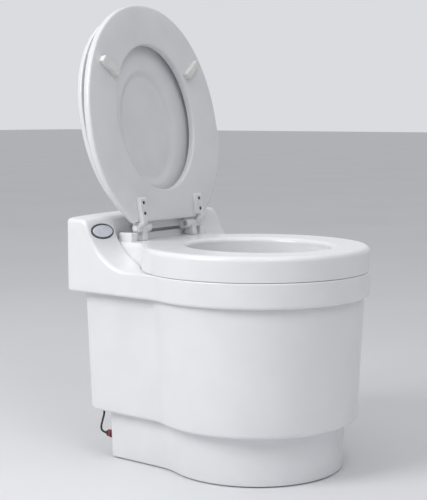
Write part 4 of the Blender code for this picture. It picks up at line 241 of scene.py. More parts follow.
@dataclass(frozen=True)
class Leaf:
    """Outline of a seat or lid, flat, y towards the pin: a superellipse that ends in a squared tab."""

    half: float
    centre: float
    front: float
    back: float
    front_power: float
    back_power: float
    tab_half: float
    rear_edge: float

    def inside(self, inset: float) -> "Leaf":
        """The same outline, drawn in everywhere."""
        return Leaf(self.half - inset, self.centre, self.front - inset, self.back - inset, self.front_power,
                    self.back_power, self.tab_half - inset, self.rear_edge + inset)

    def loop(self) -> tuple[Array, Array]:
        """x = half |sin t|^(2/p) and y = -(centre + reach sgn(cos t) |cos t|^(2/p)), then the tab.

        Returns:
            The closed outline (n, 2), and for each point its direction about a hole inside it.
        """
        last = math.pi - math.asin(min(self.tab_half / self.half, 1.0) ** (self.back_power / 2))
        t = np.linspace(0, last, 96)
        power = np.where(t <= QUARTER, self.front_power, self.back_power)
        reach = np.where(t <= QUARTER, self.front, self.back)
        x = self.half * np.abs(np.sin(t)) ** (2 / power)
        y = -(self.centre + reach * np.sign(np.cos(t)) * np.abs(np.cos(t)) ** (2 / power))
        tab = np.array([[self.tab_half, -self.rear_edge]])
        down = np.linspace([x[-1], y[-1]], tab[0], 5)[1:]
        across = np.linspace(tab[0], [0, -self.rear_edge], 12)[1:]
        right = np.concatenate([np.stack([x, y], axis=1), down, across])
        hole_last = math.radians(165.4)
        hole_tab = math.radians(175.1)
        turn = np.concatenate([t / last * hole_last, np.linspace(hole_last, hole_tab, 5)[1:],
                               np.linspace(hole_tab, math.pi, 12)[1:]])
        return mirrored(right), np.concatenate([turn, ROUND - turn[-2:0:-1]])


def oval(half_x: float, half_y: float, count: int = 64) -> Array:
    """Ellipse of points, (count, 2)."""
    turn = np.linspace(0, ROUND, count, endpoint=False)
    return np.stack([half_x * np.cos(turn), half_y * np.sin(turn)], axis=1)


def round_rectangle(half_x: float, half_y: float, corner: float, steps: int = 7) -> Array:
    """Rectangle about the origin whose corners are arcs.

    Args:
        half_x: Half its width.
        half_y: Half its depth.
        corner: Radius of its corners.
        steps: Points in each corner.

    Returns:
        Points, (4 * steps, 2).
    """
    far_x, far_y = half_x - corner, half_y - corner
    places = ((far_x, far_y), (-far_x, far_y), (-far_x, -far_y), (far_x, -far_y))
    return np.concatenate([arc(place, corner, QUARTER * i, QUARTER * (i + 1), steps)
                           for i, place in enumerate(places)])


# Meshes

class Join(Enum):
    """How a second form meets the first."""

    CUT = "DIFFERENCE"
    ADD = "UNION"


@dataclass
class Form:
    """Points and faces of one piece, gathered skin by skin."""

    points: list[Array] = field(default_factory=list)
    faces: list[list[int]] = field(default_factory=list)
    count: int = 0

    def skin(self, rows: Array, endless: bool = False) -> "Form":
        """Cover a grid whose rows are closed loops, with capped ends or the last row joined to the first.

        Args:
            rows: Points, (rows, round, 3).
            endless: True where the rows themselves close.

        Returns:
            The form itself.
        """
        deep, wide = rows.shape[:2]
        index = np.arange(deep * wide).reshape(deep, wide) + self.count
        near, far = (index, np.roll(index, -1, axis=0)) if endless else (index[:-1], index[1:])
        quads = np.stack([near, np.roll(near, -1, axis=1), np.roll(far, -1, axis=1), far], axis=2)
        self.faces += quads.reshape(-1, 4).tolist()
        if not endless:
            self.faces += [index[0, ::-1].tolist(), index[-1].tolist()]
        self.points.append(rows.reshape(-1, 3))
        self.count += deep * wide
        return self

    def plate(self, path: Array, low_x: float, high_x: float) -> "Form":
        """A flat outline in y and z, drawn out along x.

        Args:
            path: Closed outline, (n, 2).
            low_x: One end.
            high_x: The other end.

        Returns:
            The form itself.
        """
        ends = np.array(sorted((low_x, high_x)))
        rows = np.concatenate([np.broadcast_to(ends[:, None, None], (2, len(path), 1)),
                               np.broadcast_to(path, (2, *path.shape))], axis=2)
        return self.skin(rows)

    def turned(self, profile: Array, place: Triple, axis: Array, count: int = 48,
               endless: bool = False) -> "Form":
        """A profile of radius and height turned about an axis: place + height axis + radius (cos a, sin a).

        Args:
            profile: Radius and height, (n, 2).
            place: Where height is nothing.
            axis: Unit vector.
            count: Steps round.
            endless: True where the profile closes.

        Returns:
            The form itself.
        """
        side = REARWARD if abs(axis[0]) > abs(axis[1]) else ACROSS
        other = np.cross(axis, side)
        turn = np.linspace(0, ROUND, count, endpoint=False)
        spokes = np.cos(turn)[:, None] * side + np.sin(turn)[:, None] * other
        rows = np.array(place) + profile[:, None, 1:2] * axis + profile[:, None, 0:1] * spokes
        return self.skin(rows, endless)

    def rod(self, radius: float, low: float, high: float, place: Triple, axis: Array) -> "Form":
        """A cylinder along an axis, between two heights over its place."""
        return self.turned(np.array([[radius, low], [radius, high]]), place, axis)

    def tube(self, path: Array, radius: float | Array, count: int = 16) -> "Form":
        """A round wire: each ring lies square to the line through both neighbours on the path.

        Args:
            path: Points along the middle, (n, 3).
            radius: One for all or one for each point.
            count: Steps round.

        Returns:
            The form itself.
        """
        along = np.gradient(path, axis=0)
        along /= np.linalg.norm(along, axis=1)[:, None]
        side = np.cross(along, ACROSS)
        side /= np.linalg.norm(side, axis=1)[:, None]
        other = np.cross(along, side)
        turn = np.linspace(0, ROUND, count, endpoint=False)[None, :, None]
        reach = np.broadcast_to(radius, len(path))[:, None, None]
        rows = path[:, None] + reach * (np.cos(turn) * side[:, None] + np.sin(turn) * other[:, None])
        return self.skin(rows)

    def block(self, centre: Triple, size: Triple) -> "Form":
        """A box about its centre.

        Args:
            centre: Its middle.
            size: Its width, depth and height.

        Returns:
            The form itself.
        """
        x, y, z = (half / 2 for half in size)
        path = np.array([[-y, -z], [y, -z], [y, z], [-y, z]]) + np.array(centre[1:])
        return self.plate(path, centre[0] - x, centre[0] + x)

    def moved(self, place: "Placing") -> "Form":
        """Put every point through a placing."""
        self.points = [place.of(points) for points in self.points]
        return self


@dataclass(frozen=True)
class Placing:
    """A frame tipped about x: y and z turn by the tilt, then everything moves to the place."""

    place: Triple = (0.0, 0.0, 0.0)
    tilt: float = 0.0

    def of(self, points: Array) -> Array:
        """Points of the frame, in the bowl's coordinates.

        Args:
            points: Points, (..., 3).

        Returns:
            The moved points, of the same shape.
        """
        x, y, z = np.moveaxis(points, -1, 0)
        c, s = math.cos(self.tilt), math.sin(self.tilt)
        return np.stack([x, y * c - z * s, y * s + z * c], axis=-1) + np.array(self.place)


# A point on the hinge pins' axis, and the flat frame of seat and lid turned up about it
PIN = (0.0, 198.0, 405.6)
RAISED = Placing(PIN, math.radians(-99.84))
# The way down in that frame
RAISED_DOWN = Placing(tilt=RAISED.tilt).of(DOWNWARD)


def plain_object(name: str, form: Form) -> Object:
    """Make an object of a form, doubles merged and faces outwards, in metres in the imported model's place.

    Args:
        name: Its name.
        form: Its points and faces.

    Returns:
        The object.
    """
    mesh = bpy.data.meshes.new(name)
    points = (np.concatenate(form.points) + BOWL_PLACE) * MM
    mesh.from_pydata(points.tolist(), [], form.faces)
    bm = bmesh.new()
    bm.from_mesh(mesh)
    bmesh.ops.remove_doubles(bm, verts=bm.verts, dist=MERGE)
    bmesh.ops.recalc_face_normals(bm, faces=bm.faces)
    bm.to_mesh(mesh)
    bm.free()
    thing = bpy.data.objects.new(name, mesh)
    bpy.context.scene.collection.objects.link(thing)
    return thing


def settle(thing: Object) -> None:
    """Turn an object's modifiers into its mesh.

    Args:
        thing: Object whose modifiers are applied.
    """
    bpy.context.view_layer.update()
    graph = bpy.context.evaluated_depsgraph_get()
    mesh = bpy.data.meshes.new_from_object(thing.evaluated_get(graph))
    old = thing.data
    thing.modifiers.clear()
    thing.data = mesh
    mesh.name = thing.name
    bpy.data.meshes.remove(old)


def joined(thing: Object, form: Form, how: Join) -> None:
    """Cut a form out of an object or add it, by an exact Boolean.

    Args:
        thing: Object to change.
        form: What is cut or added.
        how: Which of the two.
    """
    tool = plain_object("tool", form)
    change = thing.modifiers.new("join", "BOOLEAN")
    change.operation = how.value
    change.solver = "EXACT"
    change.object = tool
    settle(thing)
    bpy.data.objects.remove(tool)


def make(name: str, form: Form, body: str, finish: "Finish", stands_for: tuple[str, ...] = (),
         joins: tuple[tuple[Form, Join], ...] = (), edge: float = 0.0, sharp: float = 38.0) -> Object:
    """Make a finished piece that rides on a body.

    Args:
        name: The piece's name.
        form: Its shape.
        body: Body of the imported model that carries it.
        finish: What its surface is.
        stands_for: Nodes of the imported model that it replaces.
        joins: Forms to cut out or add.
        edge: Radius in millimetres that rounds its sharp edges.
        sharp: Angle in degrees past which an edge stays sharp.

    Returns:
        The object.
    """
    thing = plain_object(name, form)
    for other, how in joins:
        joined(thing, other, how)
    if edge:
        soft = thing.modifiers.new("edge", "BEVEL")
        soft.width = edge * MM
        soft.segments = 3
        soft.limit_method = "ANGLE"
        soft.angle_limit = EDGE_ANGLE
        settle(thing)
    mesh = thing.data
    mesh.materials.clear()
    mesh.materials.append(finish.material())
    mesh.shade_smooth()
    mesh.set_sharp_from_angle(angle=math.radians(sharp))
    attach(thing, body)
    if stands_for:
        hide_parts(*stands_for)
    LOG.info("%s: %d faces on %s, finish %s", name, len(mesh.polygons), body, finish.name)
    return thing


# Finishes

COAT_ROUGHNESS = 0.14
# The middle of a noise's range, which is stretched over all of what the noise drives
NOISE_RANGE = {"From Min": 0.3, "From Max": 0.7}
# Height in metres where scuffs have faded out, and their size in millimetres
SCUFF_TOP = 0.06
SCUFF_MM = 9.0


def linear(colour: str) -> tuple[float, float, float, float]:
    """Turn an sRGB hex colour to linear values with full alpha."""
    values = [int(colour[i:i + 2], 16) / 255 for i in (1, 3, 5)]
    return (*(v / 12.92 if v <= 0.04045 else ((v + 0.055) / 1.055) ** 2.4 for v in values), 1.0)


def add(tree: Tree, kind: str, settings: dict | None = None, links: dict | None = None) -> Node:
    """Add a node with its settings, and its inputs as values or as sockets to link from.

    Args:
        tree: Node tree that takes it.
        kind: Blender's name for the node.
        settings: Attribute to value.
        links: Input to a value, or to the socket that feeds it.

    Returns:
        The node.
    """
    node = tree.nodes.new(kind)
    for name, value in (settings or {}).items():
        setattr(node, name, value)
    for name, value in (links or {}).items():
        if isinstance(value, Socket):
            tree.links.new(value, node.inputs[name])
        else:
            node.inputs[name].default_value = value
    return node


class Grain(Enum):
    """How a surface was made, which sets the pattern of its relief."""

    PEEL = "moulded in a polished tool"
    SPARK = "moulded in a spark-eroded tool"
    DRAWN = "drawn rod"
    TURNED = "turned on a lathe"
    PLATED = "zinc plate"
    CELLS = "open foam"
    CREASED = "creased film"
    TRACKS = "etched board"


@dataclass(frozen=True)
class Finish:
    """A surface: two close colours that drift into each other, a relief by how it was made, and its gloss."""

    name: str
    light: str
    shade: str
    grain: Grain
    grain_mm: float
    relief_mm: float
    matt: tuple[float, float]
    metallic: float = 0.0
    ior: float = 1.5
    coat: float = 0.0
    drift_mm: float = 70.0
    scuffs: float = 0.0

    def material(self) -> bpy.types.Material:
        """Its material, made once.

        Returns:
            The material.
        """
        known = bpy.data.materials.get(self.name)
        if known:
            return known
        look = bpy.data.materials.new(self.name)
        look.use_nodes = True
        tree = look.node_tree
        shader = tree.nodes["Principled BSDF"]
        place = add(tree, "ShaderNodeTexCoord").outputs["Object"]
        shader.inputs["Metallic"].default_value = self.metallic
        shader.inputs["IOR"].default_value = self.ior
        shader.inputs["Coat Weight"].default_value = self.coat
        shader.inputs["Coat Roughness"].default_value = COAT_ROUGHNESS
        tree.links.new(self.colour(tree, place), shader.inputs["Base Color"])
        tree.links.new(self.gloss(tree, place), shader.inputs["Roughness"])
        height = self.relief(tree, place)
        bump = add(tree, "ShaderNodeBump", links={"Height": height, "Distance": self.relief_mm * MM,
                                                  "Strength": 1.0})
        tree.links.new(bump.outputs["Normal"], shader.inputs["Normal"])
        return look

    def noise(self, tree: Tree, place: Socket, size_mm: float, detail: float = 2.0) -> Socket:
        """Noise whose features are about a size in millimetres."""
        return add(tree, "ShaderNodeTexNoise", links={"Vector": place, "Scale": 1 / (size_mm * MM),
                                                      "Detail": detail}).outputs[0]

    def colour(self, tree: Tree, place: Socket) -> Socket:
        """The light and the shaded colour, mixed by slow noise, and darker in scuffs near the floor.

        Args:
            tree: Node tree of the material.
            place: Object coordinates.

        Returns:
            Colour socket.
        """
        if self.grain is Grain.TRACKS:
            share = self.relief(tree, place)
        else:
            share = add(tree, "ShaderNodeMapRange",
                        links={"Value": self.noise(tree, place, self.drift_mm), **NOISE_RANGE}).outputs[0]
        if self.scuffs:
            share = self.scuffed(tree, place, share)
        return add(tree, "ShaderNodeMix", {"data_type": "RGBA"},
                   {0: share, 6: linear(self.light), 7: linear(self.shade)}).outputs[2]

    def scuffed(self, tree: Tree, place: Socket, share: Socket) -> Socket:
        """Add fine scuffs that fade out 60 mm above the floor.

        Args:
            tree: Node tree of the material.
            place: Object coordinates.
            share: Share of the shaded colour so far.

        Returns:
            That share with the scuffs added.
        """
        parts = add(tree, "ShaderNodeSeparateXYZ", links={"Vector": place})
        low = add(tree, "ShaderNodeMapRange", links={"Value": parts.outputs["Z"], "From Min": SCUFF_TOP,
                                                     "From Max": 0.0, "To Max": self.scuffs}).outputs[0]
        marks = self.noise(tree, place, SCUFF_MM, 6.0)
        more = add(tree, "ShaderNodeMath", {"operation": "MULTIPLY"}, {0: low, 1: marks}).outputs[0]
        return add(tree, "ShaderNodeMath", {"operation": "ADD", "use_clamp": True},
                   {0: share, 1: more}).outputs[0]

    def gloss(self, tree: Tree, place: Socket) -> Socket:
        """Roughness between two values, by noise half the drift's size: handled and less handled places.

        Args:
            tree: Node tree of the material.
            place: Object coordinates.

        Returns:
            Roughness socket.
        """
        marks = self.noise(tree, place, self.drift_mm / 2, 1.0)
        return add(tree, "ShaderNodeMapRange", links={"Value": marks, **NOISE_RANGE, "To Min": self.matt[0],
                                                      "To Max": self.matt[1]}).outputs[0]

    def relief(self, tree: Tree, place: Socket) -> Socket:
        """Height of the surface's pattern, by how it was made.

        Args:
            tree: Node tree of the material.
            place: Object coordinates.

        Returns:
            Height socket.
        """
        if self.grain in (Grain.PEEL, Grain.SPARK):
            return self.noise(tree, place, self.grain_mm, 1.0 if self.grain is Grain.PEEL else 5.0)
        if self.grain in (Grain.DRAWN, Grain.TURNED):
            stretch = (0.04, 1.0, 1.0) if self.grain is Grain.DRAWN else (0.03, 0.03, 1.0)
            drawn = add(tree, "ShaderNodeMapping", links={"Vector": place, "Scale": stretch})
            return self.noise(tree, drawn.outputs[0], self.grain_mm, 3.0)
        scale = 1 / (self.grain_mm * MM)
        if self.grain is Grain.CREASED:
            return add(tree, "ShaderNodeTexVoronoi", {"feature": "DISTANCE_TO_EDGE"},
                       {"Vector": place, "Scale": scale, "Randomness": 1.0}).outputs["Distance"]
        if self.grain is Grain.TRACKS:
            lines = add(tree, "ShaderNodeTexBrick",
                        links={"Vector": place, "Scale": scale, "Mortar Size": 0.03, "Color1": (0, 0, 0, 1),
                               "Color2": (0, 0, 0, 1), "Mortar": (1, 1, 1, 1)})
            return add(tree, "ShaderNodeRGBToBW", links={"Color": lines.outputs["Color"]}).outputs[0]
        return add(tree, "ShaderNodeTexVoronoi", links={"Vector": place, "Scale": scale}).outputs["Distance"]


# Spark grain, plating crystals, tool marks, foam cells and board tracks are finer than a pixel of the
# photograph, about 1.7 mm, and too fine to show. They are drawn coarser than they are, at the first number
# after the grain, in millimetres.

# Gloss ABS, moulded in a polished tool: a clean white with a faint orange peel in its reflections.
SHELL = Finish("gloss_white_abs", "#EEEEF0", "#E9EAEC", Grain.PEEL, 12.0, 0.004, (0.22, 0.27), ior=1.53,
               scuffs=0.5)
# The same shell where it is a plain cover plate, a little less polished.
PLATE = Finish("satin_white_abs", "#E9EAEB", "#E2E3E5", Grain.SPARK, 1.2, 0.02, (0.34, 0.44), ior=1.53)
# Moulded wood-flour seat with a sprayed enamel: denser white, rounder highlights than the shell.
SEAT_ENAMEL = Finish("seat_white_enamel", "#E6E7E9", "#DFE0E3", Grain.PEEL, 10.0, 0.004, (0.2, 0.25),
                     coat=0.3)
# Glass-filled nylon: a satin, slightly cool white with a fine grain.
NYLON = Finish("white_nylon", "#E8E9EA", "#DFE1E3", Grain.SPARK, 0.9, 0.03, (0.32, 0.45), ior=1.53,
               drift_mm=18.0)
# Soft vinyl: milky and matt, without sharp highlights.
BUMPER = Finish("white_vinyl", "#E9E9E6", "#DDDDDA", Grain.SPARK, 1.4, 0.03, (0.5, 0.62), drift_mm=14.0)
# Rubber: deep grey, its grain only breaks the shine.
RUBBER = Finish("black_rubber", "#26262A", "#1B1B1D", Grain.SPARK, 1.6, 0.05, (0.6, 0.78), drift_mm=12.0)
# Spark-eroded ABS: near black with a satin sheen.
BLACK_ABS = Finish("black_abs", "#303034", "#242427", Grain.SPARK, 1.1, 0.04, (0.42, 0.56), drift_mm=30.0)
# Polypropylene: waxy mid grey.
GREY_PP = Finish("grey_polypropylene", "#9A9C9E", "#8C8E91", Grain.SPARK, 1.8, 0.03, (0.42, 0.55),
                 drift_mm=40.0)
# Painted and lacquered ABS: the light catches fine flakes under a clear coat.
SILVER = Finish("silver_lacquer", "#E2E5EC", "#D6DAE3", Grain.SPARK, 0.9, 0.002, (0.3, 0.4), metallic=0.3,
                coat=0.2, drift_mm=9.0)
# Dark blue-grey ABS ring, polished on its lip.
RING = Finish("dark_blue_abs", "#3A434C", "#2F373F", Grain.PEEL, 3.0, 0.01, (0.2, 0.3), coat=0.3,
              drift_mm=12.0)
# Dyed polypropylene snap ring.
RED = Finish("red_polypropylene", "#C21F2B", "#A81722", Grain.SPARK, 0.8, 0.02, (0.32, 0.42), drift_mm=4.0)
# Metallised polyethylene film: soft mirror broken up by creases.
FILM = Finish("metallised_film", "#D6D8DC", "#C8CBD0", Grain.CREASED, 18.0, 0.25, (0.28, 0.42), metallic=0.6,
              drift_mm=24.0)
# Zinc plate on steel: cool, its crystals coarsened to a slight mottle.
ZINC = Finish("zinc_plated_steel", "#C4C6C8", "#B2B4B5", Grain.PLATED, 1.5, 0.02, (0.28, 0.4), metallic=1.0,
              drift_mm=10.0)
# Drawn stainless rod: coarsened scratches run along the pin.
ROD = Finish("drawn_steel", "#CACBCC", "#B9BABB", Grain.DRAWN, 0.8, 0.01, (0.2, 0.3), metallic=1.0,
             drift_mm=8.0)
# Blackened screws: the recess drinks the light.
BLACKED = Finish("blackened_steel", "#3A3B3D", "#2B2C2E", Grain.PLATED, 0.6, 0.02, (0.34, 0.48), metallic=0.8,
                 drift_mm=3.0)
# Turned brass bush: warm, with coarsened tool rings.
BRASS = Finish("turned_brass", "#D8B469", "#C9A259", Grain.TURNED, 0.8, 0.02, (0.24, 0.36), metallic=1.0,
               drift_mm=8.0)
# Natural acetal: ivory and waxy.
ACETAL = Finish("natural_acetal", "#E2E0D6", "#D8D5C8", Grain.SPARK, 1.0, 0.02, (0.3, 0.42), ior=1.48,
                drift_mm=25.0)
# Etched board under green solder resist: coarsened tracks show as lighter lines.
BOARD = Finish("solder_resist_board", "#1D6B3C", "#3C8E58", Grain.TRACKS, 9.0, 0.05, (0.3, 0.42), coat=0.3)
# Closed-cell foam: dark grey and open, no shine.
FOAM = Finish("grey_foam", "#55565A", "#45464A", Grain.CELLS, 1.6, 0.4, (0.85, 0.95), drift_mm=12.0)


# Casings

def drafted_wall(foot: Keyhole, top: Keyhole, low: float, high: float, edge: float, edge_steps: int,
                 shares: Array) -> list[Array]:
    """Rings of a drafted wall: a quarter round at its foot, then outlines on the way from foot to top.

    Args:
        foot: Outline at the low end.
        top: Outline at the high end.
        low: Height of the underside.
        high: Height of the rim.
        edge: Radius of the lower edge.
        edge_steps: Rings in that edge.
        shares: Where the other outlines lie, from 0 at the foot to 1 at the top.

    Returns:
        The rings, (n, 3) each.
    """
    rows = [level(foot.inside(edge * (1 - math.sin(a))).loop(), low + edge * (1 - math.cos(a)))
            for a in np.linspace(0, QUARTER, edge_steps)]
    return rows + [level(foot.toward(top, share).loop(), low + (high - low) * share) for share in shares]


@dataclass
class Base:
    """Base tray on its feet: drafted walls, open at the top, with the inlet's hole at the rear left."""

    low: float = 2.0
    high: float = 86.8
    wall: float = 4.0
    edge: float = 2.0
    draft: float = 2.2
    top: Keyhole = Keyhole(156.0, 134.0, 221.0, 8.0, 130.0)
    inlet: Triple = (-118.0, 221.0, 38.0)
    inlet_radius: float = 7.9

    def form(self) -> Form:
        """Rings: rounded lower edge, wall, rim and the wall's inner side down to the floor.

        Returns:
            The form.
        """
        foot = self.top.inside(self.draft)
        shares = np.array([0.25, 0.5, 0.75, 0.985])
        rows = drafted_wall(foot, self.top, self.low, self.high, self.edge, 5, shares)
        rows.append(level(self.top.inside(0.8).loop(), self.high))
        rows.append(level(self.top.inside(self.wall).loop(), self.high))
        rows.append(level(foot.inside(self.wall).loop(), self.low + self.wall))
        return Form().skin(np.stack(rows))

    def build(self) -> None:
        """Make the tray with its inlet hole."""
        hole = Form().rod(self.inlet_radius, -THROUGH, THROUGH, self.inlet, REARWARD)
        make("base_tray_shell", self.form(), "casing", SHELL, ("base_tray",),
             ((hole, Join.CUT),))


@dataclass
class Tub:
    """Main tub: tapered, with a rounded lower edge, vents and a service opening in its rear wall."""

    low: float = 87.1
    high: float = 337.5
    wall: float = 4.0
    edge: float = 6.0
    top: Keyhole = Keyhole(189.0, 165.1, 260.0, 24.0, 65.0)
    foot: Keyhole = Keyhole(178.3, 154.2, 256.5, 24.0, 65.0)
    opening: tuple[float, float, float, float] = (-44.0, 126.0, 67.0, 57.0)
    vent: tuple[float, float] = (84.0, 84.0)
    vent_half: float = 30.0
    vent_slot: float = 4.0
    vent_pitch: float = 9.0
    gland: tuple[float, float] = (-124.0, 242.5)
    gland_radius: float = 4.2
    panel_lap: float = 7.0
    panel_thick: float = 3.0
    screw_radius: float = 4.4

    def rear_wall(self) -> Placing:
        """The frame that lies in the rear wall's outer face."""
        lean = math.atan2(self.top.rear - self.foot.rear, self.high - self.low)
        return Placing((0.0, self.foot.rear, self.low), -lean)

    def form(self) -> Form:
        """Rings: rounded lower edge, drafted wall, rim, and the inner side down to the floor.

        Returns:
            The form.
        """
        rows = drafted_wall(self.foot, self.top, self.low, self.high, self.edge, 8, np.linspace(0.1, 1, 9))
        rows.append(level(self.top.inside(self.wall).loop(), self.high))
        rows.append(level(self.foot.inside(self.wall).loop(), self.low + self.wall))
        return Form().skin(np.stack(rows))

    def slit(self, height: float) -> Form:
        """A vent slot with round ends, as a cutter through the rear wall.

        Args:
            height: How far it lies above the tub's lower end.

        Returns:
            The cutter.
        """
        outline = round_rectangle(self.vent_half, self.vent_slot / 2, self.vent_slot / 2) \
            + np.array([self.vent[0], height])
        rows = np.stack([np.insert(outline, 1, y, axis=1) for y in (-14.0, 14.0)])
        return Form().skin(rows).moved(self.rear_wall())

    def build(self) -> None:
        """Make the tub, its service panel and the panel's screws."""
        wall = self.rear_wall()
        x, z, half_x, half_z = self.opening
        cuts = [Form().block((x, 0.0, z), (half_x * 2, 28.0, half_z * 2)).moved(wall)]
        cuts += [self.slit(self.vent[1] + self.vent_pitch * i) for i in range(-2, 3)]
        cuts.append(Form().rod(self.gland_radius, -9.0, 9.0, (*self.gland, self.low), UPWARD))
        make("main_tub_shell", self.form(), "casing", SHELL, ("main_tub",),
             tuple((cut, Join.CUT) for cut in cuts))
        outer_x, outer_z = half_x + self.panel_lap, half_z + self.panel_lap
        rows = []
        for inset, y in ((0.0, PLAY), (0.0, self.panel_thick - 0.9), (0.35, self.panel_thick - 0.3),
                         (1.0, self.panel_thick)):
            outline = round_rectangle(outer_x - inset, outer_z - inset, 6.0 - inset) + np.array([x, z])
            rows.append(np.insert(outline, 1, y, axis=1))
        make("service_panel_plate", Form().skin(np.stack(rows)).moved(wall), "casing", PLATE,
             ("service_panel",))
        reach_x, reach_z = outer_x - self.panel_lap / 2, outer_z - self.panel_lap / 2
        for i, (side_x, side_z) in enumerate(((-1, -1), (1, -1), (-1, 1), (1, 1))):
            place = wall.of(np.array([x + side_x * reach_x, self.panel_thick, z + side_z * reach_z]))
            axis = Placing(tilt=wall.tilt).of(REARWARD)
            make(f"panel_screw_{i + 1}", screw_head(place, axis, self.screw_radius * 0.75), "casing",
                 ZINC)


def screw_head(place: Array, axis: Array, radius: float) -> Form:
    """A pan head with a cross recess, as a polar grid.

    The head is a dome of height 0.62 R (1 - r^2.6)^0.5. It drops by half the radius inside the cross, where
    |x| or |y| is under 0.13 and r under 0.56. Each of these steps is softened to 1 / (1 + exp(steepness
    (distance - limit))).

    Args:
        place: Middle of the head's seat.
        axis: Direction the head looks.
        radius: Head radius in millimetres.

    Returns:
        The form.
    """
    share = np.linspace(1, 0, 16)[:, None]
    turn = np.linspace(0, ROUND, 48, endpoint=False)[None, :]
    dome = 0.62 * radius * np.sqrt(np.clip(1 - share ** 2.6, 0, 1))
    x, y = share * np.cos(turn), share * np.sin(turn)
    bars = [1 / (1 + np.exp((np.abs(way) - 0.13) * 40)) for way in (x, y)]
    in_cross = np.maximum(*bars) / (1 + np.exp((share - 0.56) * 30))
    height = dome - 0.5 * radius * in_cross
    other = np.cross(axis, ACROSS)
    flat = place + radius * (x[..., None] * ACROSS + y[..., None] * other)
    top = flat + height[..., None] * axis
    shank = flat[:1] - 0.3 * radius * axis
    return Form().skin(np.concatenate([shank, top]))


